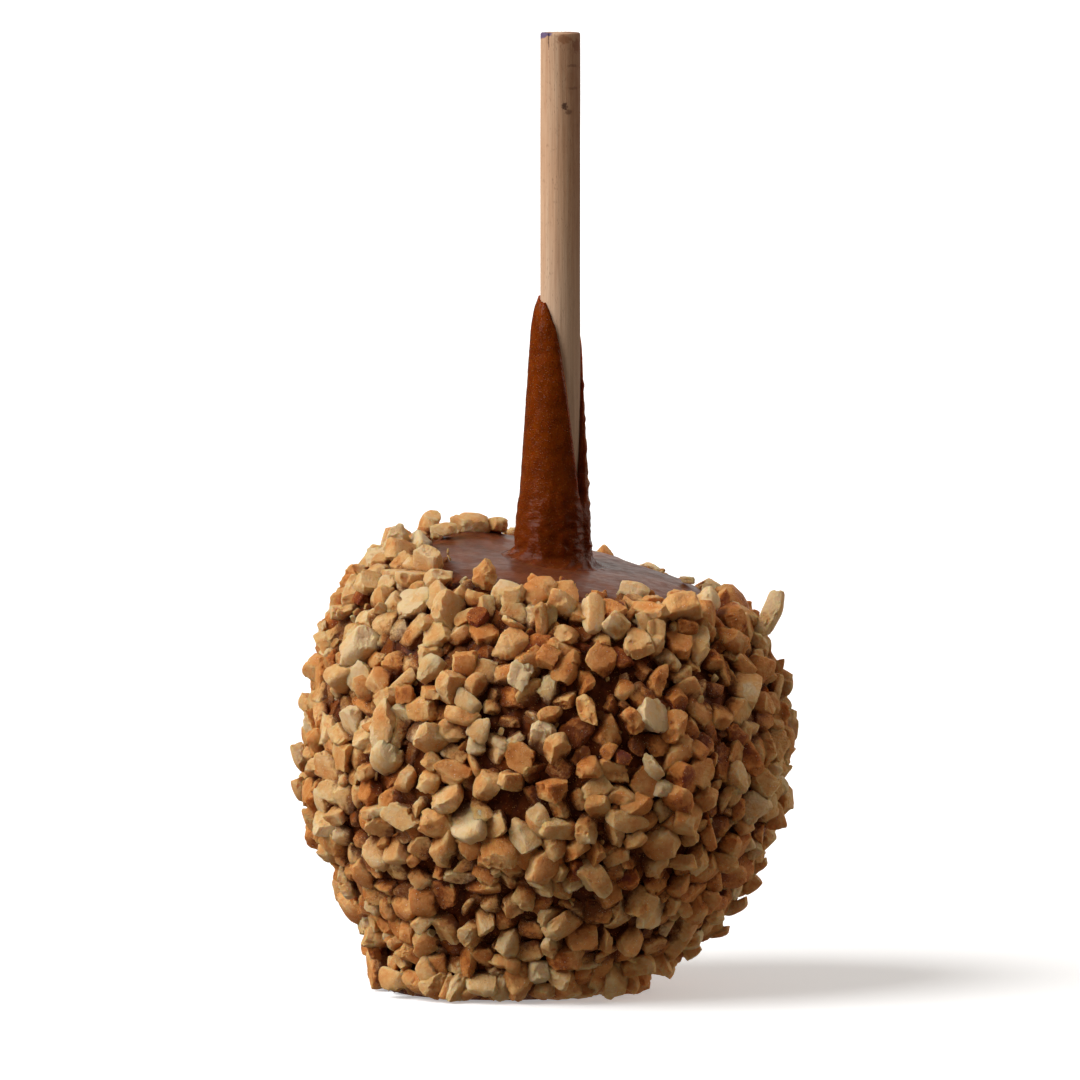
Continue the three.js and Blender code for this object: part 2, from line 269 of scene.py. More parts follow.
        # the piece as a few balls, for packing
        full = (v - c) @ axes
        grid = np.linspace(-1, 1, 11)
        ext = np.abs(full).max(0)
        pts = np.stack(np.meshgrid(*(grid * e for e in ext), indexing="ij"), -1).reshape(-1, 3)
        depth = -inside(pts @ axes.T + c)
        pts, depth = pts[depth > 0.25], depth[depth > 0.25]
        balls = []
        left = np.ones(len(pts), bool)
        for _ in range(8):
            score = depth * left
            if not len(pts) or score.max() < 0.35:
                break
            i = int(score.argmax())
            balls.append((*pts[i], depth[i] + 0.05))
            left &= np.linalg.norm(pts - pts[i], axis=1) > depth[i] * 0.95
        balls = balls or [(0, 0, 0, 0.6)]
        while len(balls) < 8:
            balls.append(balls[len(balls) % max(1, len(balls))])
        self.balls = np.array(balls[:8])
        self.size = ext * 2
        self.uv = self.chart()

    def chart(self):
        """Six flat views of the piece, side by side in a unit tile, one for each way a face looks."""
        tri = self.v[self.f]
        n = np.cross(tri[:, 1] - tri[:, 0], tri[:, 2] - tri[:, 0])
        a = np.abs(n).argmax(1)
        neg = n[np.arange(len(n)), a] < 0
        lo, hi = self.v.min(0), self.v.max(0)
        q = (tri - lo) / (hi - lo)
        uv = np.empty((len(tri), 3, 2))
        for axis, (i, j) in enumerate(((1, 2), (0, 2), (0, 1))):
            k = a == axis
            uv[k] = q[k][:, :, [i, j]]
        uv = 0.04 + uv * 0.92
        uv[..., 0] = (uv[..., 0] + a[:, None]) / 3
        uv[..., 1] = (uv[..., 1] + neg[:, None]) / 2
        return uv


KINDS = ["chunk"] * 24 + ["block"] * 6 + ["wedge"] * 20 + ["sliver"] * 10 + ["flake"] * 6 + ["half"] * 6
PROTOS = [Chunk(i, kind, 460) for i, kind in enumerate(KINDS)]
COMMON = [i for i, kind in enumerate(KINDS) if kind != "half"]
SMALL_KINDS = ["chunk"] * 10 + ["block"] * 6 + ["wedge"] * 6 + ["flake"] * 2
PROTOS += [Chunk(100 + i, kind, 200) for i, kind in enumerate(SMALL_KINDS)]
CRUMBS = [Chunk(200 + i, kind, 70) for i, kind in enumerate(["chunk", "block", "block", "wedge", "flake", "flake"])]

# ------------------------------------------------------------------------------ the coat as a table about its middle
MIDDLE = np.array([-2.0, 0.0, 34.0])
TH, PH = 144, 288


def grid_faces(rows, cols, base=0):
    i, j = np.meshgrid(np.arange(rows - 1), np.arange(cols), indexing="ij")
    a = base + i * cols + j
    b = base + i * cols + (j + 1) % cols
    return np.stack([a, b, b + cols, a + cols], -1).reshape(-1, 4)


def coat_table():
    us = np.arange(200) * 2 * math.pi / 200
    ss = np.concatenate([np.linspace(-1, 0.99, 130), [0.999]])
    p = coat(us[None, :], ss[:, None]).reshape(-1, 3)
    faces = grid_faces(len(ss), 200).tolist()
    faces.append(list(range(200))[::-1])
    tree = BVHTree.FromPolygons([Vector(x) for x in p], faces)
    th = (np.arange(TH) + 0.5) * math.pi / TH
    ph = np.arange(PH) * 2 * math.pi / PH
    rho = np.zeros((TH, PH))
    nrm = np.zeros((TH, PH, 3))
    o = Vector(MIDDLE)
    for i, t in enumerate(th):
        for j, f in enumerate(ph):
            d = Vector((math.sin(t) * math.cos(f), math.sin(t) * math.sin(f), math.cos(t)))
            hit, n, _, dist = tree.ray_cast(o, d)
            if hit is None:
                hit, n, dist = Vector(MIDDLE + np.array([0, 0, 34.9])), Vector((0, 0, 1)), 34.9
            rho[i, j] = dist
            nrm[i, j] = n * (1 if n.dot(d) > 0 else -1)
    return rho, nrm


RHO, NRM = coat_table()


def above_coat(p):
    """Height of points above the coat, and the coat's normal there."""
    d = p - MIDDLE
    rho = np.linalg.norm(d, axis=-1)
    way = d / rho[..., None]
    t = np.clip(np.arccos(np.clip(way[..., 2], -1, 1)) / math.pi * TH - 0.5, 0, TH - 1.001)
    f = (np.arctan2(way[..., 1], way[..., 0]) / (2 * math.pi) * PH) % PH
    i, j = t.astype(int), f.astype(int)
    a, b = (t - i)[..., None], (f - j)[..., None]
    j, k = j % PH, (j + 1) % PH

    def read(table):
        return (table[i, j] * (1 - b) + table[i, k] * b) * (1 - a) + (table[i + 1, j] * (1 - b) + table[i + 1, k] * b) * a

    n = read(NRM)
    n /= np.linalg.norm(n, axis=-1, keepdims=True)
    out = read(RHO[..., None])[..., 0]
    return (rho - out) * (n * way).sum(-1), n


# ------------------------------------------------------------------------------ camera
# Long lens, slightly above: 0.16 mm of the object for each of the photograph's 1080 px at the object.
DISTANCE, ELEVATION, PX = 2200.0, math.radians(5.0), 0.16
AIM = np.array([-0.75, 0.0, 72.1])
EYE = AIM + DISTANCE * np.array([0, -math.cos(ELEVATION), math.sin(ELEVATION)])
cam_data = bpy.data.cameras.new("camera")
cam_data.sensor_width = 36
cam_data.lens = 36 * DISTANCE / (1080 * PX)
cam_data.clip_start, cam_data.clip_end = 0.05, 50
cam = bpy.data.objects.new("camera", cam_data)
bpy.context.scene.collection.objects.link(cam)
cam.location = Vector(EYE * MM)
cam.rotation_euler = (math.pi / 2 - ELEVATION, 0, 0)
bpy.context.scene.camera = cam

# ------------------------------------------------------------------------------ packing the pieces on the caramel
def turn_about(axis, angle):
    axis = axis / np.linalg.norm(axis, axis=-1, keepdims=True)
    x, y, z = axis[..., 0], axis[..., 1], axis[..., 2]
    c, s = np.cos(angle), np.sin(angle)
    C = 1 - c
    return np.stack(
        [
            np.stack([c + x * x * C, x * y * C - z * s, x * z * C + y * s], -1),
            np.stack([y * x * C + z * s, c + y * y * C, y * z * C - x * s], -1),
            np.stack([z * x * C - y * s, z * y * C + x * s, c + z * z * C], -1),
        ],
        -2,
    )


def pixel_point(x, y, height):
    """The point seen at a pixel of the 1080 px frame, this high above the coat, or the nearest to it."""
    right = np.array([1.0, 0, 0])
    ahead = (AIM - EYE) / DISTANCE
    up = np.cross(right, ahead)
    way = ahead + right * (x - 540) * PX / DISTANCE - up * (y - 540) * PX / DISTANCE
    t = DISTANCE + np.linspace(-60, 60, 961)
    p = EYE - AXIS + way * t[:, None]
    p = p[p[:, 2] > 0.5]
    h, _ = above_coat(p)
    under = np.nonzero(h < height)[0]
    if len(under):
        return p[under[0]]
    p = p[h.argmin()]
    h, n = above_coat(p[None])
    return p - n[0] * max(0.0, h[0] - height)


# where few pieces stuck: place in the frame's px, and radius in mm
SPARSE = ((400, 968, 4.5), (512, 806, 3.5), (352, 872, 3.5), (446, 905, 3.0), (598, 700, 2.5), (334, 800, 2.5), (690, 800, 2.5))


def band_points(count, g):
    """Even random points on the coat between the foot and the nuts' upper edge."""
    out = []
    us = np.linspace(0, 2 * math.pi, 97)
    ss = np.linspace(-0.999, 0.97, 160)
    p = coat(us[None, :], ss[:, None])
    a = np.linalg.norm(np.cross(p[1:, :-1] - p[:-1, :-1], p[:-1, 1:] - p[:-1, :-1]), axis=-1)
    cum = np.cumsum(a.ravel()) / a.sum()
    while len(out) < count:
        k = np.searchsorted(cum, g.random(count))
        i, j = np.unravel_index(k, a.shape)
        u = lerp(us[j], us[j + 1], g.random(count))
        s = lerp(ss[i], ss[i + 1], g.random(count))
        q = coat(u, s)
        ok = (s < 0.3) | (np.hypot(q[:, 0], q[:, 1]) > rim_radius(u) + 1.2)
        for x, y, r in SPARSE:
            ok &= (np.linalg.norm(q - pixel_point(x, y, 0.3), axis=1) > r) | (g.random(len(q)) < 0.25)
        out += list(zip(u[ok], s[ok]))
    out = np.array(out[:count])
    return out[:, 0], out[:, 1]


def spread_points(count, tries, g):
    """Picks count of many random points so that they lie evenly but not regularly."""
    u, s = band_points(count * tries, g)
    p = coat(u, s)
    near = np.full(len(p), 1e9)
    picked = [0]
    order = g.permutation(len(p))
    near = np.linalg.norm(p - p[order[0]], axis=1)
    picked = [order[0]]
    jitter = g.uniform(0.55, 1.0, len(p))
    for _ in range(count - 1):
        i = int((near * jitter).argmax())
        picked.append(i)
        near = np.minimum(near, np.linalg.norm(p - p[i], axis=1))
    return u[picked], s[picked]


# Pieces that stand out, in the frame's px: place, length, width, turn from level in degrees,
# how far it stands up from the coat (0 lies, 1 stands), kind, tone.
HEROES = (
    (469, 524, 50, 24, 12, 0.0, "sliver", 0.32),
    (497, 525, 28, 24, 80, 0.0, "chunk", 0.40),
    (444, 530, 30, 20, 30, 0.1, "chunk", 0.30),
    (484, 576, 38, 25, 88, 0.5, "wedge", 0.56),
    (508, 592, 34, 26, -28, 0.0, "chunk", 0.14),
    (538, 593, 42, 33, 65, 0.2, "block", 0.50),
    (567, 596, 38, 24, 88, 0.3, "chunk", 0.44),
    (593, 613, 48, 25, 84, 0.1, "sliver", 0.20),
    (635, 590, 33, 22, -26, 0.1, "chunk", 0.16),
    (617, 605, 17, 15, 20, 0.0, "chunk", 0.88),
    (679, 599, 26, 24, 30, 0.1, "block", 0.62),
    (708, 601, 31, 28, 60, 0.1, "block", 0.16),
    (722, 590, 22, 14, 50, 0.4, "sliver", 0.28),
    (771, 614, 58, 26, 62, 0.7, "sliver", 0.14),
    (478, 617, 23, 20, 40, 0.0, "chunk", 1.00),
    (644, 622, 25, 15, 88, 0.1, "chunk", 0.30),
    (656, 631, 33, 21, 82, 0.1, "wedge", 0.44),
    (687, 626, 25, 22, 10, 0.0, "wedge", 0.76),
    (362, 597, 25, 22, -50, 0.0, "block", 0.84),
    (467, 702, 32, 20, -40, 0.1, "chunk", 0.10),
    (479, 731, 32, 25, 62, 0.1, "chunk", 0.14),
    (520, 674, 37, 26, 84, 0.1, "chunk", 0.05),
    (623, 758, 21, 18, -20, 0.0, "chunk", 0.92),
    (384, 727, 60, 28, 86, 0.1, "sliver", 0.26),
    (626, 820, 48, 24, -14, 0.0, "sliver", 0.34),
    (653, 768, 34, 16, -52, 0.1, "sliver", 0.10),
    (664, 789, 24, 20, 0, 0.0, "chunk", 0.04),
    (430, 668, 34, 24, 50, 0.1, "chunk", 0.14),
    (405, 694, 28, 24, -40, 0.0, "block", 0.60),
    (548, 657, 30, 26, 20, 0.1, "block", 0.66),
    (726, 939, 27, 15, 22, 0.6, "chunk", 0.58),
    (372, 951, 20, 16, 70, 0.5, "chunk", 0.70),
    (392, 979, 44, 20, -4, 0.1, "chunk", 0.34),
    (428, 972, 36, 20, -60, 0.1, "chunk", 0.30),
    (466, 994, 24, 18, 40, 0.1, "chunk", 0.46),
    (545, 992, 26, 20, 10, 0.1, "wedge", 0.40),
    (583, 991, 30, 20, 0, 0.1, "block", 0.56),
    (623, 988, 26, 20, 5, 0.1, "block", 0.60),
    (293, 757, 32, 22, 88, 0.6, "chunk", 0.30),
    (297, 790, 28, 22, 80, 0.6, "chunk", 0.42),
    (302, 735, 24, 20, 40, 0.6, "block", 0.46),
    (318, 630, 30, 22, 80, 0.5, "chunk", 0.30),
    (333, 598, 28, 22, 50, 0.5, "chunk", 0.30),
    (358, 558, 28, 22, 30, 0.4, "chunk", 0.36),
    (756, 888, 26, 20, 40, 0.5, "chunk", 0.50),
    (738, 908, 28, 18, 40, 0.5, "chunk", 0.44),
    (298, 708, 24, 14, 10, 0.6, "chunk", 0.36),
    (301, 822, 26, 20, 60, 0.6, "chunk", 0.50),
    (788, 686, 20, 18, 30, 0.4, "chunk", 0.34),
    (787, 742, 34, 20, 84, 0.1, "chunk", 0.36),
    (765, 870, 24, 14, 40, 0.5, "chunk", 0.44),
    (688, 580, 18, 14, 20, 0.1, "chunk", 0.08),
    (716, 586, 26, 20, 30, 0.1, "block", 0.14),
)
# the nuts' upper edge in front, in the frame's px: above it the crown is bare
EDGE_X = (438, 450, 460, 500, 536, 566, 593, 622, 645, 676, 699, 720, 745)
EDGE_Y = (520, 556, 579, 581, 575, 579, 590, 583, 586, 587, 585, 574, 560)


def above_edge(p, r):
    """How far (mm) balls at p, of radius r, reach over the nuts' upper edge as the camera sees it."""
    q = p + AXIS - AIM
    x = 540 + q[..., 0] / PX
    y = 540 - (q[..., 2] * math.cos(ELEVATION) + q[..., 1] * math.sin(ELEVATION)) / PX
    over = (np.interp(x, EDGE_X, EDGE_Y, 0, 0) - y) * PX + r
    return np.where(p[..., 1] < 4, np.maximum(0, over), 0)


NUTS, SMALL = 1130, 400
g = np.random.default_rng(5)
H = len(HEROES)
u0, s0 = spread_points(NUTS, 6, g)
u1, s1 = spread_points(SMALL, 4, g)
U, S_ = np.concatenate([u0, u1]), np.concatenate([s0, s1])
normal = coat_normal(U, S_)
scale = np.concatenate([np.clip(g.normal(0.97, 0.17, NUTS), 0.64, 1.36), g.uniform(0.34, 0.62, SMALL)])
lift = np.concatenate([g.uniform(1.2, 4.2, NUTS), g.uniform(0.6, 4.6, SMALL)])
C = coat(U, S_) + normal * lift[:, None]
proto = np.concatenate(
    [np.array(COMMON)[g.integers(0, len(COMMON), NUTS)], len(KINDS) + g.integers(0, len(SMALL_KINDS), SMALL)]
)

# The least axis mostly lies along the normal, with a random lean.
n_ = len(U)
e1 = np.cross(normal, g.normal(size=(n_, 3)))
e1 /= np.linalg.norm(e1, axis=1, keepdims=True)
e2 = np.cross(normal, e1)
R = np.stack([normal, e1, e2], -1)
lean = g.normal(0, math.radians(42), n_)
wild = g.random(n_) < 0.28
lean[wild] = g.uniform(-1.5, 1.5, wild.sum())
way = g.uniform(0, 2 * math.pi, n_)[:, None]
R = turn_about(e1 * np.cos(way) + e2 * np.sin(way), lean) @ R
flip = g.random(n_) < 0.5
R[flip] = R[flip] @ np.diag([-1.0, -1.0, 1.0])
tone = np.clip(g.normal(0.50, 0.135, n_), 0.12, 0.92)
tone[g.random(n_) < 0.035] = 0.10

# painted light: the pieces at the upper left, where the key light falls, are made paler
tone = np.maximum(0.06, tone - 0.11 * smooth(40, 62, C[:, 2]) * smooth(6, -22, C[:, 0]) - 0.03 * smooth(20, -20, C[:, 0]))
# the pieces that stand out come first, and stay where they are
hero = {"C": [], "R": [], "k": [], "s": []}
for n, (x, y, long, wide, turn, stand, kind, t) in enumerate(HEROES):
    kinds = [i for i, k in enumerate(KINDS) if k == kind]
    ratio = [abs(math.log(PROTOS[i].size[2] / PROTOS[i].size[1] / (long / wide))) for i in kinds]
    k = kinds[int(np.argmin(np.array(ratio) + 0.03 * ((np.arange(len(kinds)) + n) % 5)))]
    size = PX * math.sqrt(long / PROTOS[k].size[2] * wide / PROTOS[k].size[1])
    rest = 2.5 if y > 600 else min(2.5, 0.38 * wide * PX)
    p = pixel_point(x, y, rest + (4.2 if stand > 0.65 else 1.5) * stand)
    h, nrm = above_coat(p[None])
    nrm = nrm[0]
    a = math.radians(turn)
    along = np.array([math.cos(a), 0, math.sin(a)])
    flat = along - nrm * (along @ nrm)
    flat /= np.linalg.norm(flat)
    along = flat * (1 - stand) + (nrm * 0.7 + along * 0.7) * stand
    along /= np.linalg.norm(along)
    thin = nrm - along * (nrm @ along)
    if np.linalg.norm(thin) < 0.2:
        thin = np.cross(along, [0, 0, 1.0])
    thin /= np.linalg.norm(thin)
    hero["R"].append(np.stack([thin, np.cross(along, thin), along], -1))
    hero["C"].append(p)
    hero["k"].append(k)
    hero["s"].append(size)
C = np.concatenate([np.array(hero["C"]), C])
R = np.concatenate([np.array(hero["R"]), R])
proto = np.concatenate([hero["k"], proto]).astype(int)
scale = np.concatenate([hero["s"], scale])
tone = np.concatenate([[h[7] for h in HEROES], tone])
N = len(C)
hue = g.normal(0, 1, N)
fixed = np.arange(N) < H

balls = np.stack([PROTOS[k].balls for k in proto])
B = balls[..., :3] * scale[:, None, None]
BR = balls[..., 3] * scale[:, None]
seen = np.zeros(BR.shape, bool)
for n in range(1, 8):  # repeated balls don't count
    seen[:, n] = (np.abs(B[:, :n] - B[:, n : n + 1]).sum(-1) < 1e-9).any(1)
BR[seen] = -9
W = (~seen).astype(float)
reach = (np.linalg.norm(B, axis=-1) + BR).max(1)
EMBED = 0.45


def pack(C, R, rounds, pull):
    """Moves overlapping pieces apart and draws them in to the coat, a little at a time."""
    pairs = None
    for step in range(rounds):
        if step % 6 == 0:
            sq = (C**2).sum(1)
            d2 = sq[:, None] + sq[None, :] - 2 * C @ C.T
            lim = reach[:, None] + reach[None, :] + 0.6
            pi, pj = np.nonzero(np.triu(d2 < lim**2, 1))
            pairs = (pi, pj)
        pi, pj = pairs
        X = C[:, None] + B @ R.transpose(0, 2, 1)
        move = np.zeros(X.shape)
        count = np.zeros(BR.shape)
        d = X[pi][:, :, None] - X[pj][:, None, :]
        dist = np.sqrt((d**2).sum(-1)) + 1e-9
        over = BR[pi][:, :, None] + BR[pj][:, None, :] - dist
        k, a, b = np.nonzero(over > 0)
        share = np.where(fixed[pi[k]], 0.0, np.where(fixed[pj[k]], 1.0, 0.5))
        push = d[k, a, b] * (over[k, a, b] / dist[k, a, b])[:, None]
        fi, fj = pi[k] * 8 + a, pj[k] * 8 + b
        flat = move.reshape(-1, 3)
        for axis in range(3):
            flat[:, axis] += np.bincount(fi, push[:, axis] * share, len(flat))
            flat[:, axis] -= np.bincount(fj, push[:, axis] * (1 - share), len(flat))
        count.reshape(-1)[:] = np.bincount(fi, minlength=len(flat)) + np.bincount(fj, minlength=len(flat))
        move /= np.maximum(1, count * 0.6)[..., None]
        h, n = above_coat(X)
        sink = (BR - EMBED - h) * W - 99 * (1 - W)
        move += 0.25 * n * np.maximum(0, sink)[..., None]
        r = np.hypot(X[..., 0], X[..., 1])
        rim = rim_radius(np.arctan2(X[..., 1], X[..., 0]))
        rim = rim + 1.0 * np.maximum(0, -X[..., 1] / r)
        short = np.maximum(0, rim + BR * 0.6 - r) * (X[..., 2] > 56) * W
        short = short + np.minimum(3.0, above_edge(X, BR)) * 1.2 * W
        move[..., 0] += short * X[..., 0] / r * 0.5
        move[..., 1] += short * X[..., 1] / r * 0.5
        Y = X + move
        w = W / W.sum(1, keepdims=True)
        c = (Y * w[..., None]).sum(1)
        rest = (B * w[..., None]).sum(1)
        A = np.einsum("nk,nki,nkj->nij", w, Y - c[:, None], B - rest[:, None])
        A += R * (0.35 * reach**2)[:, None, None] * 0.35
        u_, _, vt = np.linalg.svd(A)
        det = np.sign(np.linalg.det(u_ @ vt))
        u_[:, :, 2] *= det[:, None]
        turned = u_ @ vt
        moved = c - np.einsum("nij,nj->ni", turned, rest)
        _, n = above_coat(moved)
        moved = moved + n * (np.maximum(0, sink.max(1)) * 0.8 - pull)[:, None]
        low = 0.35 - (moved[:, None] + B @ turned.transpose(0, 2, 1))[..., 2] + BR
        moved[:, 2] += np.maximum(0, low.max(1))
        C = np.where(fixed[:, None], C, moved)
        R = np.where(fixed[:, None, None], R, turned)
    return C, R


ROUNDS = 104
C, R = pack(C, R, ROUNDS, 0.08)
C, R = pack(C, R, 14, 0.02)
# what still reaches over the upper edge in front is left out
over = np.array([above_edge((PROTOS[proto[i]].v * scale[i]) @ R[i].T + C[i], 0.0).max() for i in range(N)])
rise = np.array([above_coat((PROTOS[proto[i]].v * scale[i]) @ R[i].T + C[i])[0] for i in range(N)], dtype=object)
high = np.array([h.max() for h in rise])
low = np.array([h.min() for h in rise])
keep = fixed | ((over < 0.5) & (high < 7.6) & (low < 0.9))
# and the ones that stand out reach down to the pieces under them
down = np.where(fixed, np.clip(low - 1.4, 0.0, None), 0.0)
C = C - above_coat(C)[1] * down[:, None]
print("LEFT OUT", int((~keep).sum()))
# no corner may reach below what the part stands on
for i in range(N):
    low = 0.25 - ((PROTOS[proto[i]].v * scale[i]) @ R[i].T)[:, 2].min() - C[i, 2]
    C[i, 2] += max(0.0, low)

# ------------------------------------------------------------------------------ meshes
def add_mesh(name, v, faces, smooth_angle=None):
    """A mesh object from vertices in mm about the dowel's axis, and triangles or quads."""
    me = bpy.data.meshes.new(name)
    co = (np.asarray(v) + AXIS) * MM
    me.vertices.add(len(co))
    me.vertices.foreach_set("co", co.astype(np.float32).ravel())
    faces = np.asarray(faces)
    me.loops.add(faces.size)
    me.loops.foreach_set("vertex_index", faces.astype(np.int32).ravel())
    me.polygons.add(len(faces))
    me.polygons.foreach_set("loop_start", np.arange(len(faces), dtype=np.int32) * faces.shape[1])
    me.polygons.foreach_set("use_smooth", np.ones(len(faces), bool))
    me.update(calc_edges=True)
    me.validate()
    if smooth_angle is not None:
        me.set_sharp_from_angle(angle=smooth_angle)
    ob = bpy.data.objects.new(name, me)
    bpy.context.scene.collection.objects.link(ob)
    return ob


def attribute(me, name, kind, domain, values):
    at = me.attributes.new(name, kind, domain)
    key = "vector" if kind == "FLOAT_VECTOR" else "value"
    at.data.foreach_set(key, np.asarray(values, np.float32).ravel())


def gather(name, members, protos, centres, turns, sizes, tones, hues, tiles_across, film_and_shade_weights):
    """Joins copies of the pieces into one mesh, each with its own tile of the map and its own tone."""
    vs, fs, loc, surf, edge, shade, tone, hue, film_and_painted_shade, uvs = [], [], [], [], [], [], [], [], [], []
    base = 0
    side = tiles_across
    for n, k in enumerate(members):
        p = protos[k[0]]
        i = k[1]
        local = p.v * sizes[i]
        vs.append(local @ turns[i].T + centres[i])
        # caramel film and painted shade: each piece is browner within 3 mm of the caramel, where the gaps lie in shade
        film_and_painted_shade.append(film_and_shade_weights[i] * (1 - smooth(0.2, 3.0, above_coat(vs[-1])[0])))
        fs.append(p.f + base)
        base += len(p.v)
        loc.append(p.v + np.array([n * 11.3 % 97, n * 7.7 % 89, n * 3.1 % 83]))
        surf.append(p.surf)
        edge.append(p.edge)
        shade.append(p.shade)
        tone.append(np.full(len(p.v), tones[i]))
        hue.append(np.full(len(p.v), hues[i]))
        uv = p.uv.copy()
        uv[..., 0] = (uv[..., 0] + n % side) / side
        uv[..., 1] = (uv[..., 1] + n // side) / side
        uvs.append(uv.reshape(-1, 2))
    ob = add_mesh(name, np.concatenate(vs), np.concatenate(fs), math.radians(38))
    me = ob.data
    attribute(me, "local", "FLOAT_VECTOR", "POINT", np.concatenate(loc))
    attribute(me, "surf", "FLOAT", "FACE", np.concatenate(surf))
    attribute(me, "edge", "FLOAT", "POINT", np.concatenate(edge))
    attribute(me, "shade", "FLOAT", "POINT", np.concatenate(shade))
    attribute(me, "tone", "FLOAT", "POINT", np.concatenate(tone))
    attribute(me, "hue", "FLOAT", "POINT", np.concatenate(hue))
    attribute(me, "film_and_painted_shade", "FLOAT", "POINT", np.concatenate(film_and_painted_shade))
    layer = me.uv_layers.new(name="OFBake")
    layer.data.foreach_set("uv", np.concatenate(uvs).astype(np.float32).ravel())
    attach(ob, "root")
    return ob


CUTS = [-1.0] + [float(x) for x in np.quantile(tone[keep], (0.26, 0.52, 0.78))] + [2.0]
NUT_SETS = tuple(zip(("nuts_cream", "nuts_tan", "nuts_golden", "nuts_roasted"), CUTS[:-1], CUTS[1:]))
# how much caramel film and painted shade each piece takes near the caramel; the pieces that stand out take less, those
# at the upper edge least
film_and_shade_of = np.where(fixed, 0.4, 1.0)
film_and_shade_of[:H] *= [0.1 if h[1] < 600 else 1.0 for h in HEROES]
nut_objects = []
for name, a, b in NUT_SETS:
    members = [(proto[i], i) for i in range(N) if a < tone[i] <= b and keep[i]]
    side = math.ceil(math.sqrt(len(members)))
    nut_objects.append(gather(name, members, PROTOS, C, R, scale, tone, hue, side, film_and_shade_of))
    print("PIECE", name, len(members), len(nut_objects[-1].data.polygons))

# crumbs that stuck to the caramel between the pieces and just above their upper edge
CRUMB_N = 620
g = np.random.default_rng(77)
uc, sc = band_points(CRUMB_N, g)
near_rim = g.random(CRUMB_N) < 0.07
r_c = rim_radius(uc) + g.normal(-0.6, 0.9, CRUMB_N)
sc = np.where(near_rim, station_at(r_c), sc)
nc = coat_normal(uc, sc)
size_c = g.uniform(0.12, 0.32, CRUMB_N)
deep_c = np.where(near_rim, 0.35, g.uniform(0.3, 1.6, CRUMB_N))
Cc = coat(uc, sc) + nc * deep_c[:, None]
Rc = turn_about(g.normal(size=(CRUMB_N, 3)), g.uniform(0, math.pi, CRUMB_N))
kc = g.integers(0, len(CRUMBS), CRUMB_N)
for i, k in enumerate(kc):
    Cc[i, 2] += max(0.0, 0.2 - ((CRUMBS[k].v * size_c[i]) @ Rc[i].T)[:, 2].min() - Cc[i, 2])
tone_c = np.clip(g.normal(0.45, 0.2, CRUMB_N), 0, 0.9)
shown_c = above_edge(Cc, size_c) < 0.2
nut_objects.append(
    gather("nut_crumbs", [(k, i) for i, k in enumerate(kc) if shown_c[i]], CRUMBS, Cc, Rc, size_c, tone_c, g.normal(0, 1, CRUMB_N), 25, np.full(CRUMB_N, 0.35))
)

# ------------------------------------------------------------------------------ the caramel
def sleeve_top(a):
    d = np.arctan2(np.sin(a - NOTCH_AT), np.cos(a - NOTCH_AT))
    w = np.where(d < 0, NOTCH_W_LEFT, NOTCH_W_RIGHT)
    drop = np.exp(-((np.abs(d) / w) ** NOTCH_POWER))
    uneven = 0.25 * np.sin(5 * a + 1.0) + 0.15 * np.sin(11 * a + 2.2) + 0.08 * np.sin(23 * a)
    return SLEEVE_HIGH_Z - 1.6 * np.exp(-((d / math.radians(95)) ** 2)) * (1 - drop) - (SLEEVE_HIGH_Z - SLEEVE_LOW_Z) * drop + uneven


def sleeve_radius(a, z):
    up = np.maximum(0, z - CROWN_Z)
    mean = np.maximum(0.5, SLEEVE_BASE_T - SLEEVE_TAPER * up)
    skew = np.maximum(0.2, SLEEVE_SKEW - SLEEVE_SKEW_TAPER * up)
    below = sleeve_top(a) - z
    thin = 1 - 0.85 * np.exp(-np.maximum(0, below) / 1.5)
    t = np.maximum(0.3, (mean - skew * np.cos(a)) * thin)
    folds = smooth(84, 70, z) * (0.12 * np.sin(7 * a + 0.4 + 0.05 * z) + 0.06 * np.sin(13 * a + 1.9))
    folds = folds + 0.35 * smooth(81, 73, z) * np.maximum(0, -np.cos(a))
    return STICK_R + 0.2 + t + folds * (t > 0.5)


COLS = 380
FILLET_R, FILLET_W, FILLET_H = 9.5, 2.6, 1.5
us = np.arange(COLS) * 2 * math.pi / COLS
rings, tags = [], []
for k in (0.35, 0.8, 0.97):
    p = coat(us, np.full(COLS, -1.0))
    mid = np.array([FOOT_SHIFT_X, 0, 0])
    rings.append(mid + (p - mid) * k)
    tags.append((0, 0))
s_rim = station_at(rim_radius(us) - 1.0)
for t in np.linspace(0, 1, 96):
    p = coat(us, -1 + (s_rim + 1) * t)
    p[:, 2] = np.maximum(p[:, 2], 0)
    rings.append(p)
    tags.append((0, 0))
r_rim = rim_radius(us) - 1.0
for t in np.linspace(0, 1, 40)[1:]:
    rings.append(coat(us, station_at(lerp(r_rim, FILLET_R, t))))
    tags.append((1, 0))
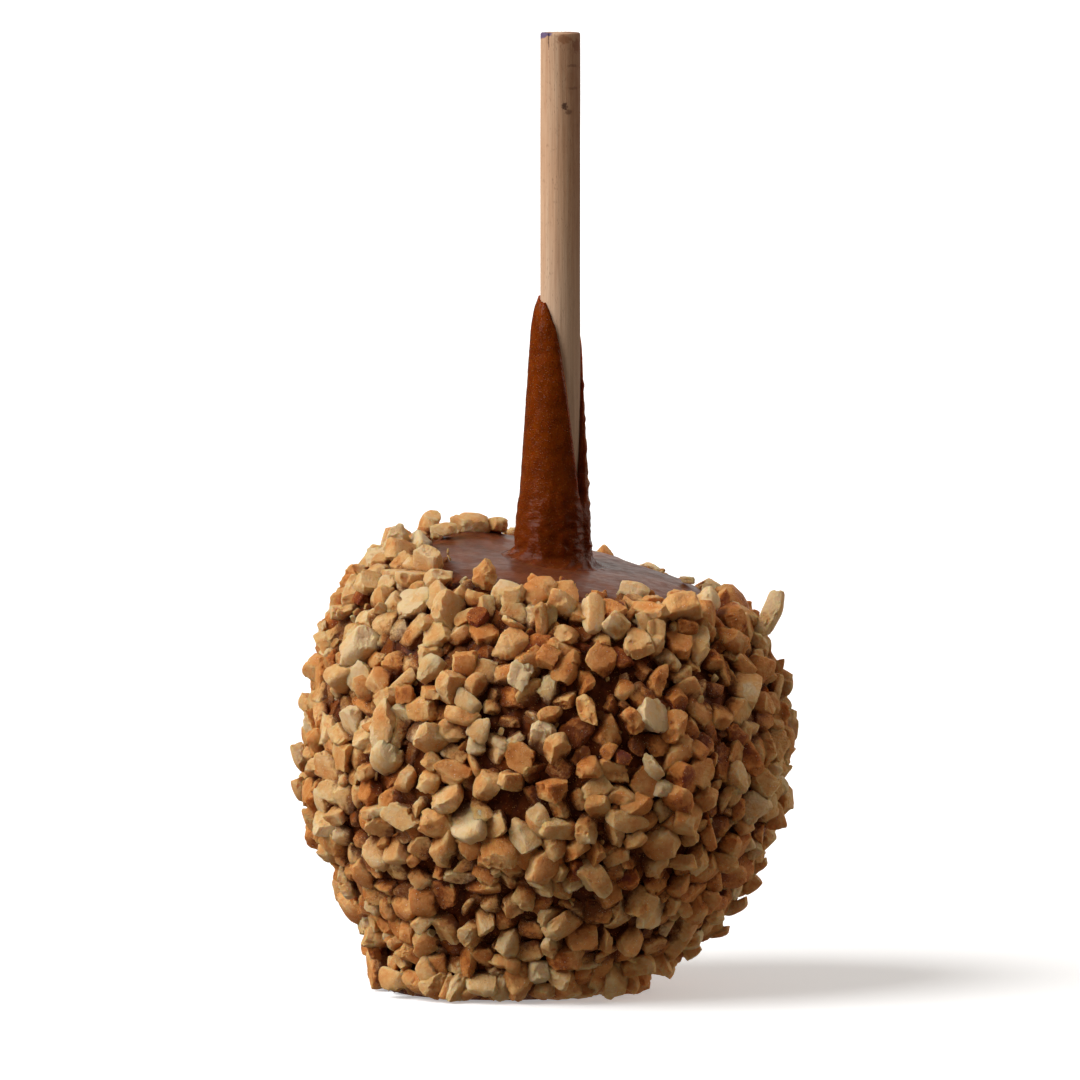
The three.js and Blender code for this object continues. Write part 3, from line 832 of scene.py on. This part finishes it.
# the fillet between crown and sleeve, then the sleeve
z_crown = coat(us, station_at(np.full(COLS, 6.0)))[:, 2]
r_base = sleeve_radius(us, z_crown + FILLET_H)
for t in np.linspace(0, 1, 14)[1:]:
    r = lerp(FILLET_R, r_base, t)
    p = coat(us, station_at(r))
    rise = np.clip((r_base + FILLET_W - r) / FILLET_W, 0, 1) ** 3 * FILLET_H
    p[:, 0], p[:, 1] = r * np.cos(us), r * np.sin(us)
    p[:, 2] += rise
    rings.append(p)
    tags.append((1, smooth(0, 1, t)))
z_from = rings[-1][:, 2].copy()
for t in np.linspace(0, 1, 84)[1:]:
    z = lerp(z_from, sleeve_top(us), t)
    r = sleeve_radius(us, z)
    rings.append(np.stack([r * np.cos(us), r * np.sin(us), z], -1))
    tags.append((1, 1))
for dr, dz in ((-0.28, 0.06), (-0.6, -0.4), (-1.2, -2.0)):
    r = np.maximum(STICK_R + dr, STICK_R - 1) + 0.2
    z = sleeve_top(us) + dz
    rings.append(np.stack([r * np.cos(us), r * np.sin(us), z], -1))
    tags.append((1, 1))
caramel_v = np.concatenate(rings)
ROWS = len(rings)
bare = np.repeat([t[0] for t in tags], COLS).astype(float)
sleeve = np.repeat([float(t[1]) for t in tags], COLS)
# the crown's bare finish runs on a little way under the first pieces
reach_r = np.hypot(caramel_v[:, 0], caramel_v[:, 1]) - rim_radius(np.arctan2(caramel_v[:, 1], caramel_v[:, 0]))
bare = np.maximum(bare, smooth(5.0, 2.4, reach_r) * (caramel_v[:, 2] > 56))
CLOSE = len(caramel_v)
quads = grid_faces(ROWS, COLS)


def vertex_normals(v, q):
    n = np.cross(v[q[:, 2]] - v[q[:, 0]], v[q[:, 3]] - v[q[:, 1]])
    out = np.zeros_like(v)
    for k in range(4):
        for axis in range(3):
            out[:, axis] += np.bincount(q[:, k], n[:, axis], len(v))
    return out / (np.linalg.norm(out, axis=1, keepdims=True) + 1e-12)


vn = vertex_normals(caramel_v, quads)
# caramel creeps up round the pieces that sit in it
from mathutils.kdtree import KDTree

X = (C[:, None] + B @ R.transpose(0, 2, 1))[(W > 0) & keep[:, None]]
XR = BR[(W > 0) & keep[:, None]]
tree = KDTree(len(X))
for i, x in enumerate(X):
    tree.insert(x, i)
tree.balance()
creep = np.zeros(len(caramel_v))
low = (caramel_v[:, 2] > 0.3) & (sleeve < 0.5)
for i in np.nonzero(low)[0]:
    best = 9.0
    for _, k, d in tree.find_n(caramel_v[i], 3):
        best = min(best, d - XR[k])
    creep[i] = best
creep = np.where(low, np.exp(-np.maximum(0, creep) / 0.55), 0)
lump = waves(3, 14, 1.1, 3.2)(caramel_v)
fine = waves(4, 14, 0.55, 1.1)(caramel_v)
swell = waves(5, 10, 6, 16)(caramel_v)
low_sleeve = sleeve * smooth(86, 71, caramel_v[:, 2])
side_angle = np.arctan2(caramel_v[:, 1], caramel_v[:, 0])
crease = 0.6 - np.abs(waves(21, 12, 2.4, 5.0)(caramel_v * np.array([0.6, 0.6, 1.7]) + 0.4 * waves(22, 8, 3, 6)(caramel_v)[:, None]))
beads = np.maximum(0, waves(9, 14, 1.1, 3.4)(caramel_v)) * np.exp(-((side_angle / 0.6) ** 2)) * (sleeve > 0.9)
ripple = np.sin(caramel_v[:, 2] * 4.2 + 1.6 * waves(6, 8, 5, 12)(caramel_v)) * waves(8, 8, 3, 9)(caramel_v)
lift = (
    creep * 0.6 * (1 - sleeve)
    + (1 - bare) * (0.12 * lump + 0.05 * fine)
    + bare * (1 - sleeve) * (0.10 * swell + 0.018 * lump)
    + sleeve * (0.018 * lump + 0.008 * fine)
    + low_sleeve * (0.03 * lump + 0.14 * crease)
    + 0.11 * beads * smooth(106, 96, caramel_v[:, 2])
)
flat_foot = caramel_v[:, 2] < 0.01
lift[flat_foot] = 0
caramel_v = caramel_v + vn * lift[:, None]
caramel_v[:, 2] = np.maximum(caramel_v[:, 2], 0)
caramel_v = np.concatenate([caramel_v, [[FOOT_SHIFT_X, 0, 0]]])
me_faces = quads
caramel_ob = add_mesh("caramel", caramel_v, me_faces)
bm = bmesh.new()
bm.from_mesh(caramel_ob.data)
bm.verts.ensure_lookup_table()
for j in range(COLS):
    bm.faces.new((bm.verts[CLOSE], bm.verts[(j + 1) % COLS], bm.verts[j]))
top0 = (ROWS - 1) * COLS
bm.faces.new([bm.verts[top0 + j] for j in range(COLS)])
bm.to_mesh(caramel_ob.data)
bm.free()
for p in caramel_ob.data.polygons:
    p.use_smooth = True
attribute(caramel_ob.data, "bare", "FLOAT", "POINT", np.append(bare, 0))
attribute(caramel_ob.data, "sleeve", "FLOAT", "POINT", np.append(sleeve, 0))
attribute(caramel_ob.data, "low", "FLOAT", "POINT", np.append(low_sleeve, 0))
attribute(caramel_ob.data, "creep", "FLOAT", "POINT", np.append(creep, 0))
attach(caramel_ob, "root")
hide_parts("caramel_coat")
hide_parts("nut_coating")

# ------------------------------------------------------------------------------ the dowel
AR, RW = 96, 180
ang = np.arange(AR) * 2 * math.pi / AR
zs = np.linspace(STICK_LOW + 0.3, STICK_TOP - 0.25, RW)
fibre = waves(31, 24, 0.35, 1.2)
rows = []
for r, z in ((0.4, STICK_LOW), (STICK_R - 0.25, STICK_LOW)):
    rows.append(np.stack([r * np.cos(ang), r * np.sin(ang), np.full(AR, z)], -1))
for z in zs:
    p = np.stack([np.cos(ang) * STICK_R, np.sin(ang) * STICK_R, np.full(AR, z)], -1)
    q = p * np.array([1, 1, 0.03])
    r = STICK_R - 0.02 + 0.016 * fibre(q) + 0.03 * np.sin(2 * ang + z * 0.011)
    crack = np.exp(-(((ang - math.radians(233)) / 0.035) ** 2)) * smooth(STICK_TOP - 2.6, STICK_TOP - 0.2, z)
    r = r - 0.22 * crack
    rows.append(np.stack([r * np.cos(ang), r * np.sin(ang), np.full(AR, z)], -1))
for r, dz in ((STICK_R - 0.08, -0.08), (STICK_R - 0.22, 0.0), (2.4, 0.0), (1.8, 0.0), (1.2, 0.0), (0.6, 0.0)):
    e = waves(33, 20, 0.3, 1.0)
    p = np.stack([r * np.cos(ang), r * np.sin(ang), np.full(AR, STICK_TOP + dz)], -1)
    crack = np.exp(-(((ang - math.radians(233)) / (0.035 * STICK_R / r)) ** 2)) * (r > 1.5)
    p[:, 2] -= 0.03 * np.abs(e(p)) + 0.35 * crack
    rows.append(p)
stick_v = np.concatenate(rows)
stick_ob = add_mesh("stick_wood", stick_v, grid_faces(len(rows), AR))
bm = bmesh.new()
bm.from_mesh(stick_ob.data)
bm.verts.ensure_lookup_table()
bm.faces.new([bm.verts[j] for j in range(AR)][::-1])
bm.faces.new([bm.verts[(len(rows) - 1) * AR + j] for j in range(AR)])
bm.to_mesh(stick_ob.data)
bm.free()
for p in stick_ob.data.polygons:
    p.use_smooth = True
stick_ob.data.set_sharp_from_angle(angle=math.radians(50))
turn = (np.degrees(np.arctan2(stick_v[:, 1], stick_v[:, 0])) - 90) % 360  # 90 left, 180 front, 270 right
corner = [l.vertex_index for l in stick_ob.data.loops]
turn_at = turn[corner]
for p in stick_ob.data.polygons:
    if len(p.vertices) == 4:
        k = slice(p.loop_start, p.loop_start + 4)
        if np.ptp(turn_at[k]) > 180:
            turn_at[k] = np.where(turn_at[k] < 180, turn_at[k] + 360, turn_at[k])
attribute(stick_ob.data, "turn", "FLOAT", "CORNER", turn_at)
attribute(stick_ob.data, "out", "FLOAT", "POINT", np.hypot(stick_v[:, 0], stick_v[:, 1]) / STICK_R)
attribute(stick_ob.data, "below", "FLOAT", "POINT", STICK_TOP - stick_v[:, 2])
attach(stick_ob, "root")
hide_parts("stick")


# ------------------------------------------------------------------------------ materials
def srgb(r, g, b):
    return tuple(((c / 255 + 0.055) / 1.055) ** 2.4 if c > 10 else c / 255 / 12.92 for c in (r, g, b)) + (1.0,)


class Nodes:
    """Short names for building a node material."""

    def __init__(self, name):
        self.mat = bpy.data.materials.new(name)
        self.mat.use_nodes = True
        self.nt = self.mat.node_tree
        self.p = self.nt.nodes["Principled BSDF"]

    def new(self, kind, **values):
        n = self.nt.nodes.new(kind)
        for k, v in values.items():
            setattr(n, k, v)
        return n

    def link(self, a, b):
        self.nt.links.new(a, b)

    def put(self, socket, value):
        if isinstance(value, bpy.types.NodeSocket):
            self.link(value, socket)
        else:
            socket.default_value = value

    def attr(self, name, out="Fac"):
        n = self.new("ShaderNodeAttribute", attribute_name=name)
        return n.outputs[out]

    def place(self):
        return self.new("ShaderNodeTexCoord").outputs["Object"]

    def scaled(self, vector, x, y=None, z=None):
        n = self.new("ShaderNodeVectorMath", operation="MULTIPLY")
        self.put(n.inputs[0], vector)
        n.inputs[1].default_value = (x, x if y is None else y, x if z is None else z)
        return n.outputs[0]

    def noise(self, vector, scale, detail=4.0, rough=0.5, out="Fac"):
        n = self.new("ShaderNodeTexNoise")
        self.put(n.inputs["Vector"], vector)
        n.inputs["Scale"].default_value = scale
        n.inputs["Detail"].default_value = detail
        n.inputs["Roughness"].default_value = rough
        return n.outputs[out]

    def cells(self, vector, scale, feature="F1", out="Distance"):
        n = self.new("ShaderNodeTexVoronoi", feature=feature)
        self.put(n.inputs["Vector"], vector)
        n.inputs["Scale"].default_value = scale
        return n.outputs[out]

    def maths(self, op, a, b=0.0, c=0.0, clamp=False):
        n = self.new("ShaderNodeMath", operation=op, use_clamp=clamp)
        self.put(n.inputs[0], a)
        self.put(n.inputs[1], b)
        if op in ("MULTIPLY_ADD",):
            self.put(n.inputs[2], c)
        return n.outputs[0]

    def span(self, value, a, b, c=0.0, d=1.0, smoothly=True):
        n = self.new("ShaderNodeMapRange", interpolation_type="SMOOTHSTEP" if smoothly else "LINEAR")
        self.put(n.inputs["Value"], value)
        for k, v in zip(("From Min", "From Max", "To Min", "To Max"), (a, b, c, d)):
            n.inputs[k].default_value = v
        return n.outputs["Result"]

    def ramp(self, value, stops):
        n = self.new("ShaderNodeValToRGB")
        self.put(n.inputs["Fac"], value)
        els = n.color_ramp.elements
        while len(els) < len(stops):
            els.new(0.5)
        for e, (at, colour) in zip(els, stops):
            e.position = at
            e.color = colour
        return n.outputs["Color"]

    def mix(self, fac, a, b, blend="MIX"):
        n = self.new("ShaderNodeMix", data_type="RGBA", blend_type=blend)
        self.put(n.inputs[0], fac)
        self.put(n.inputs[6], a)
        self.put(n.inputs[7], b)
        return n.outputs[2]

    def bump(self, height, distance, strength=1.0, normal=None):
        n = self.new("ShaderNodeBump")
        self.put(n.inputs["Height"], height)
        n.inputs["Distance"].default_value = distance
        n.inputs["Strength"].default_value = strength
        if normal is not None:
            self.link(normal, n.inputs["Normal"])
        return n.outputs["Normal"]

    def done(self, ob):
        ob.data.materials.clear()
        ob.data.materials.append(self.mat)


TONES = [
    (0.00, srgb(247, 217, 170)),
    (0.13, srgb(244, 203, 145)),
    (0.30, srgb(238, 185, 120)),
    (0.50, srgb(228, 157, 89)),
    (0.68, srgb(211, 132, 65)),
    (0.85, srgb(164, 86, 32)),
    (1.00, srgb(134, 60, 42)),
]


def peanut_material(name):
    m = Nodes(name)
    loc = m.attr("local", "Vector")
    tone_, hue_, surf_, edge_, film_and_painted_shade_ = m.attr("tone"), m.attr("hue"), m.attr("surf"), m.attr("edge"), m.attr("film_and_painted_shade")
    cloud = m.noise(loc, 0.36, 2, 0.5)
    grain = m.noise(loc, 2.6, 4, 0.75)
    patch = m.noise(loc, 1.2, 3, 0.6)
    t = m.maths("MULTIPLY_ADD", m.attr("shade"), 0.10, tone_)
    t = m.maths("MULTIPLY_ADD", m.maths("SUBTRACT", cloud, 0.5), 0.85, t)
    t = m.maths("MULTIPLY_ADD", m.maths("SUBTRACT", patch, 0.5), 0.45, t)
    t = m.maths("MULTIPLY_ADD", m.maths("SUBTRACT", 0.5, surf_), 0.14, t)
    # broken edges are paler; what lies deep in the caramel is browner, partly a caramel film and partly painted shade
    worn = m.maths("MULTIPLY", edge_, m.span(grain, 0.38, 0.62, 0.25, 1.0))
    t = m.maths("MULTIPLY_ADD", worn, -0.22, t)
    t = m.maths("MULTIPLY_ADD", film_and_painted_shade_, 0.16, t)
    colour = m.ramp(m.maths("MAXIMUM", t, 0.0), TONES)
    warm = m.mix(m.span(hue_, -2.2, 2.2), (1.0, 0.985, 0.94, 1), (1.0, 0.94, 0.90, 1))
    colour = m.mix(1.0, colour, warm, "MULTIPLY")
    # small toasted specks
    speck = m.maths("MULTIPLY", m.span(m.cells(loc, 1.5), 0.10, 0.03), m.span(cloud, 0.50, 0.60))
    colour = m.mix(m.maths("MULTIPLY", speck, 0.6), colour, srgb(96, 48, 22))
    mottle = m.span(grain, 0.34, 0.66)
    colour = m.mix(m.maths("MULTIPLY", mottle, 0.22), colour, m.mix(1.0, colour, (0.82, 0.72, 0.62, 1), "MULTIPLY"))
    # caramel drawn up over the part that sits in it, which is also painted shade: pieces turn darker and browner low
    # down between the others
    film_and_shade = m.span(m.maths("MULTIPLY_ADD", m.maths("SUBTRACT", patch, 0.5), 0.9, film_and_painted_shade_), 0.25, 0.80)
    colour = m.mix(m.maths("MULTIPLY", film_and_shade, 0.86), colour, srgb(122, 56, 16))
    # sugar and salt dust, whose pale specks also serve as painted glints
    dust_and_painted_glints = m.maths("MULTIPLY", m.span(m.cells(loc, 2.6), 0.24, 0.12), m.span(patch, 0.47, 0.58))
    colour = m.mix(m.maths("MULTIPLY", dust_and_painted_glints, 0.7), colour, srgb(252, 236, 204))
    m.link(colour, m.p.inputs["Base Color"])
    rough = m.span(patch, 0.3, 0.7, 0.34, 0.56)
    rough = m.maths("MULTIPLY_ADD", surf_, 0.08, rough)
    rough = m.maths("MULTIPLY_ADD", film_and_shade, -0.18, rough)
    m.link(rough, m.p.inputs["Roughness"])
    m.p.inputs["Specular IOR Level"].default_value = 0.2
    m.p.inputs["Subsurface Weight"].default_value = 0.35
    m.p.inputs["Subsurface Radius"].default_value = (1.0, 0.48, 0.18)
    m.p.inputs["Subsurface Scale"].default_value = 0.0014
    h = m.maths("MULTIPLY_ADD", patch, 0.5, m.noise(loc, 3.0, 4, 0.75))
    h = m.maths("MULTIPLY_ADD", dust_and_painted_glints, 0.12, h)
    m.link(m.bump(h, 0.00080, 1.0), m.p.inputs["Normal"])
    return m


nut_mat = peanut_material("roasted_peanut")
for ob in nut_objects:
    nut_mat.done(ob)


def caramel_material(name, specular, weight, scale):
    m = Nodes(name)
    pos = m.scaled(m.place(), 1000)
    bare_, sleeve_, low_ = m.attr("bare"), m.attr("sleeve"), m.attr("low")
    cloud = m.noise(pos, 0.16, 4, 0.55)
    crown = m.mix(m.span(cloud, 0.35, 0.65), srgb(90, 45, 24), srgb(109, 58, 32))
    amber = m.mix(m.span(m.noise(pos, 0.45, 4, 0.6), 0.3, 0.7), srgb(90, 32, 1), srgb(112, 46, 3))
    amber = m.mix(m.maths("MULTIPLY", low_, 0.5), amber, srgb(80, 25, 2))
    under = m.mix(m.span(m.noise(pos, 0.5, 3), 0.35, 0.65), srgb(76, 28, 5), srgb(106, 48, 14))
    colour = m.mix(bare_, under, crown)
    colour = m.mix(sleeve_, colour, amber)
    # pale grains in the caramel between the pieces, and on the sleeve painted glints
    grains_and_painted_glints = m.span(m.cells(pos, 2.6), 0.30, 0.16)
    grains_and_painted_glints = m.maths("MULTIPLY", grains_and_painted_glints, m.span(m.noise(pos, 0.8, 2), 0.44, 0.56))
    grains_and_painted_glints = m.maths("MULTIPLY", grains_and_painted_glints, m.maths("MAXIMUM", m.maths("SUBTRACT", 1.0, bare_), m.maths("MULTIPLY", sleeve_, 0.22)))
    colour = m.mix(m.maths("MULTIPLY", grains_and_painted_glints, 0.5), colour, srgb(216, 156, 96))
    m.link(colour, m.p.inputs["Base Color"])
    rough = m.span(m.noise(pos, 0.8, 4), 0.3, 0.7, 0.32, 0.44)
    rough = m.maths("MULTIPLY_ADD", m.maths("SUBTRACT", 1.0, bare_), 0.10, rough)
    rough = m.maths("MULTIPLY_ADD", sleeve_, -0.18, rough)
    m.link(rough, m.p.inputs["Roughness"])
    m.p.inputs["Subsurface Weight"].default_value = weight
    m.p.inputs["Subsurface Radius"].default_value = (1.0, 0.42, 0.10)
    m.p.inputs["Subsurface Scale"].default_value = scale
    m.p.inputs["Specular IOR Level"].default_value = specular
    under_ = m.maths("SUBTRACT", 1.0, bare_)
    bubbles = m.maths("MULTIPLY", m.span(m.cells(pos, 1.7), 0.0, 0.30), m.maths("MULTIPLY_ADD", sleeve_, 0.2, under_))
    fine_ = m.noise(pos, 1.6, 4, 0.6)
    lines = m.noise(m.scaled(pos, 0.28, 0.28, 2.2), 1.0, 3, 0.5)
    h = m.maths("MULTIPLY", m.maths("MULTIPLY", lines, m.maths("SUBTRACT", bare_, sleeve_)), 1.44)
    h = m.maths("MULTIPLY_ADD", fine_, 0.42, h)
    # small sideways wrinkles on the sleeve, strongest near its foot, and a fine sugary grain
    wrinkles = m.noise(m.scaled(pos, 0.7, 0.7, 2.0), 1.2, 3, 0.55)
    wrinkles = m.maths("MULTIPLY", wrinkles, m.maths("MULTIPLY_ADD", low_, 1.0, m.maths("MULTIPLY", sleeve_, 0.12)))
    h = m.maths("MULTIPLY_ADD", wrinkles, 1.44, h)
    sugar = m.maths("MULTIPLY", m.span(m.cells(pos, 2.4), 0.0, 0.4), sleeve_)
    h = m.maths("MULTIPLY_ADD", sugar, -0.6, h)
    h = m.maths("MULTIPLY_ADD", bubbles, 0.84, h)
    m.link(m.bump(h, 0.00010, 1.0), m.p.inputs["Normal"])
    return m


# the bare crown has a satin sheen; the thick sleeve and what lies between the nuts is deeper and clearer
caramel_ob.data.materials.clear()
for args in (("caramel_crown", 0.24, 0.5, 0.0022), ("caramel_amber", 0.08, 0.75, 0.0030)):
    caramel_ob.data.materials.append(caramel_material(*args).mat)
is_crown = (np.append(bare, 0) > 0.5) & (np.append(sleeve, 0) < 0.5)
for p in caramel_ob.data.polygons:
    p.material_index = 0 if all(is_crown[list(p.vertices)]) else 1

m = Nodes("dowel_birch")
pos = m.scaled(m.place(), 1000)
turn_, below_ = m.attr("turn"), m.attr("below")
streak = m.noise(m.scaled(pos, 6.0, 6.0, 0.10), 1.0, 5, 0.65)
broad = m.noise(m.scaled(pos, 0.7, 0.7, 0.05), 1.0, 3, 0.5)
blotch = m.noise(m.scaled(pos, 0.8, 0.8, 0.3), 0.6, 4, 0.6)
colour = m.mix(m.span(streak, 0.25, 0.75), srgb(180, 139, 107), srgb(209, 177, 146))
colour = m.mix(m.maths("MULTIPLY", m.span(broad, 0.35, 0.7), 0.35), colour, srgb(190, 138, 100))
pores = m.cells(m.scaled(pos, 6.5, 6.5, 0.9), 1.0)
pores = m.maths("MULTIPLY", m.span(pores, 0.26, 0.12), m.span(m.noise(pos, 0.9, 2), 0.40, 0.6))
colour = m.mix(m.maths("MULTIPLY", pores, 0.45), colour, srgb(120, 80, 52))
# handling has left the top brown on the right, and the part near the caramel greyer; the whole right side is darkened
# as painted shade
brown = m.maths("MULTIPLY", m.span(below_, 44.0, 1.0), m.span(turn_, 165.0, 250.0, 0.15, 1.0))
brown = m.maths("MULTIPLY", brown, m.span(blotch, 0.36, 0.62, 0.25, 1.0))
fading = m.span(turn_, 350.0, 285.0)
brown = m.maths("MULTIPLY", brown, fading)
colour = m.mix(m.maths("MULTIPLY", brown, 0.8), colour, srgb(148, 92, 54))
# painted shade: the dowel's right side, turned away from the key light, is darker all along its length
colour = m.mix(m.maths("MULTIPLY", m.span(turn_, 180.0, 262.0, 0.0, 0.85), fading), colour, srgb(122, 82, 56))
colour = m.mix(m.span(below_, 24.0, 58.0, 0.0, 0.35), colour, srgb(186, 166, 146))


def spot(at, down, wide, high, ragged=0.9):
    """A mark about a place on the dowel: degrees round it and mm below its top."""
    a = m.maths("DIVIDE", m.maths("SUBTRACT", turn_, at), wide)
    b = m.maths("DIVIDE", m.maths("SUBTRACT", below_, down), high)
    d = m.maths("SQRT", m.maths("ADD", m.maths("MULTIPLY", a, a), m.maths("MULTIPLY", b, b)))
    d = m.maths("MULTIPLY_ADD", m.maths("SUBTRACT", m.noise(pos, 2.2, 3), 0.5), ragged * 2, d)
    return m.span(d, 1.0, 0.45)


for at, down, wide, high, depth, dark in (
    (193, 11.6, 11, 0.75, 0.85, srgb(58, 26, 10)),
    (205, 12.6, 14, 0.55, 0.55, srgb(76, 40, 18)),
    (222, 5.2, 28, 0.30, 0.45, srgb(84, 44, 22)),
    (222, 8.8, 26, 0.28, 0.40, srgb(84, 44, 22)),
    (190, 1.0, 30, 0.9, 0.55, srgb(134, 74, 32)),
    (236, 2.0, 24, 1.3, 0.60, srgb(112, 58, 28)),
    # the dark line in the split at the dowel's top is painted shade
    (143.5, 1.0, 3.2, 2.2, 0.80, srgb(70, 34, 18)),
):
    colour = m.mix(m.maths("MULTIPLY", spot(at, down, wide, high), depth), colour, dark)
# a smudge of violet ink on the rim's left
ink = m.maths("MULTIPLY", m.span(turn_, 158.0, 148.0), m.span(turn_, 14.0, 30.0))
ink_low = m.maths("MULTIPLY", m.span(turn_, 56.0, 84.0), m.span(turn_, 156.0, 100.0, 0.30, 1.0))
ink_low = m.maths("MULTIPLY_ADD", ink_low, 0.85, 0.12)
ink_low = m.maths("MULTIPLY_ADD", m.maths("SUBTRACT", m.noise(pos, 2.6, 3), 0.5), 1.1, ink_low)
ink = m.maths("MULTIPLY", ink, m.span(m.maths("SUBTRACT", below_, ink_low), 0.12, -0.12))
ragged_ = m.maths("MULTIPLY_ADD", m.maths("SUBTRACT", m.noise(pos, 1.4, 3), 0.5), 0.9, m.attr("out"))
ink = m.maths("MULTIPLY", ink, m.span(ragged_, 0.62, 0.78))
colour = m.mix(m.maths("MULTIPLY", ink, 0.84), colour, srgb(54, 46, 104))
m.link(colour, m.p.inputs["Base Color"])
m.link(m.span(streak, 0.2, 0.8, 0.58, 0.78), m.p.inputs["Roughness"])
m.p.inputs["Specular IOR Level"].default_value = 0.3
h = m.maths("MULTIPLY_ADD", pores, -0.8, streak)
m.link(m.bump(h, 0.00009, 0.8), m.p.inputs["Normal"])
m.done(stick_ob)

# ------------------------------------------------------------------------------ floor and light
bpy.ops.mesh.primitive_plane_add(size=30, location=(0, 6, 0))
floor = bpy.context.object
floor.name = "floor"
m = Nodes("floor_pale")
m.p.inputs["Base Color"].default_value = (0.86, 0.86, 0.86, 1)
m.p.inputs["Roughness"].default_value = 0.9
m.p.inputs["Specular IOR Level"].default_value = 0.1
m.p.inputs["Emission Color"].default_value = (1, 1, 1, 1)
m.p.inputs["Emission Strength"].default_value = 0.34
m.done(floor)
# The white floor throws no light of its own back up: the sky's lower half stands for that bounce.
floor.visible_diffuse = False
floor.visible_glossy = False


def lamp(name, kind, energy, place, target, size=0.5, colour=(1, 1, 1), angle=0.4):
    data = bpy.data.lights.new(name, kind)
    data.energy = energy
    data.color = colour
    if kind == "AREA":
        data.size = size
    if kind == "SUN":
        data.angle = angle
    ob = bpy.data.objects.new(name, data)
    bpy.context.scene.collection.objects.link(ob)
    ob.location = Vector(place)
    ob.rotation_euler = (Vector(target) - Vector(place)).to_track_quat("-Z", "Y").to_euler()
    return ob


def around(azimuth, elevation, distance=2.0):
    """A place as seen from the object: azimuth 0 is towards the camera, + to the right."""
    a, e = math.radians(azimuth), math.radians(elevation)
    return (distance * math.sin(a) * math.cos(e), -distance * math.cos(a) * math.cos(e), distance * math.sin(e) + 0.06)


lamp("key", "SUN", 4.45, around(-71, 38), (0, 0, 0.06), angle=0.95)
lamp("side", "SUN", 1.05, around(108, 20), (0, 0, 0.06), angle=0.9, colour=(1.0, 0.87, 0.74))
lamp("back", "SUN", 0.42, around(170, 16), (0, 0, 0.06), angle=0.9, colour=(1.0, 0.96, 0.92))
world = bpy.data.worlds.new("studio")
bpy.context.scene.world = world
world.use_nodes = True
wn = world.node_tree.nodes
sky = wn.new("ShaderNodeTexCoord")
split = wn.new("ShaderNodeSeparateXYZ")
level = wn.new("ShaderNodeMapRange")
level.inputs["From Min"].default_value = -1
level.inputs["From Max"].default_value = 1
fade = wn.new("ShaderNodeValToRGB")
steps = ((0.0, 0.50), (0.42, 0.17), (0.52, 0.07), (1.0, 0.24))
while len(fade.color_ramp.elements) < len(steps):
    fade.color_ramp.elements.new(0.5)
for el, (at, v) in zip(fade.color_ramp.elements, steps):
    el.position, el.color = at, (v, v, v, 1)
world.node_tree.links.new(sky.outputs["Generated"], split.inputs[0])
world.node_tree.links.new(split.outputs["Z"], level.inputs["Value"])
world.node_tree.links.new(level.outputs["Result"], fade.inputs["Fac"])
world.node_tree.links.new(fade.outputs["Color"], wn["Background"].inputs["Strength"])
# warm from below and from the sides, paler above
warmth = wn.new("ShaderNodeValToRGB")
for el, at, c in zip(warmth.color_ramp.elements, (0.5, 0.62), ((1.0, 0.88, 0.75, 1), (1.0, 0.95, 0.89, 1))):
    el.position, el.color = at, c
world.node_tree.links.new(level.outputs["Result"], warmth.inputs["Fac"])
world.node_tree.links.new(warmth.outputs["Color"], wn["Background"].inputs["Color"])
bpy.context.scene.view_settings.view_transform = "Standard"
bpy.context.scene.view_settings.look = "None"

TOTAL = sum(len(p.vertices) - 2 for ob in nut_objects + [caramel_ob, stick_ob] for p in ob.data.polygons)
print("TRIANGLES", {ob.name: sum(len(p.vertices) - 2 for p in ob.data.polygons) for ob in nut_objects + [caramel_ob, stick_ob]}, TOTAL)
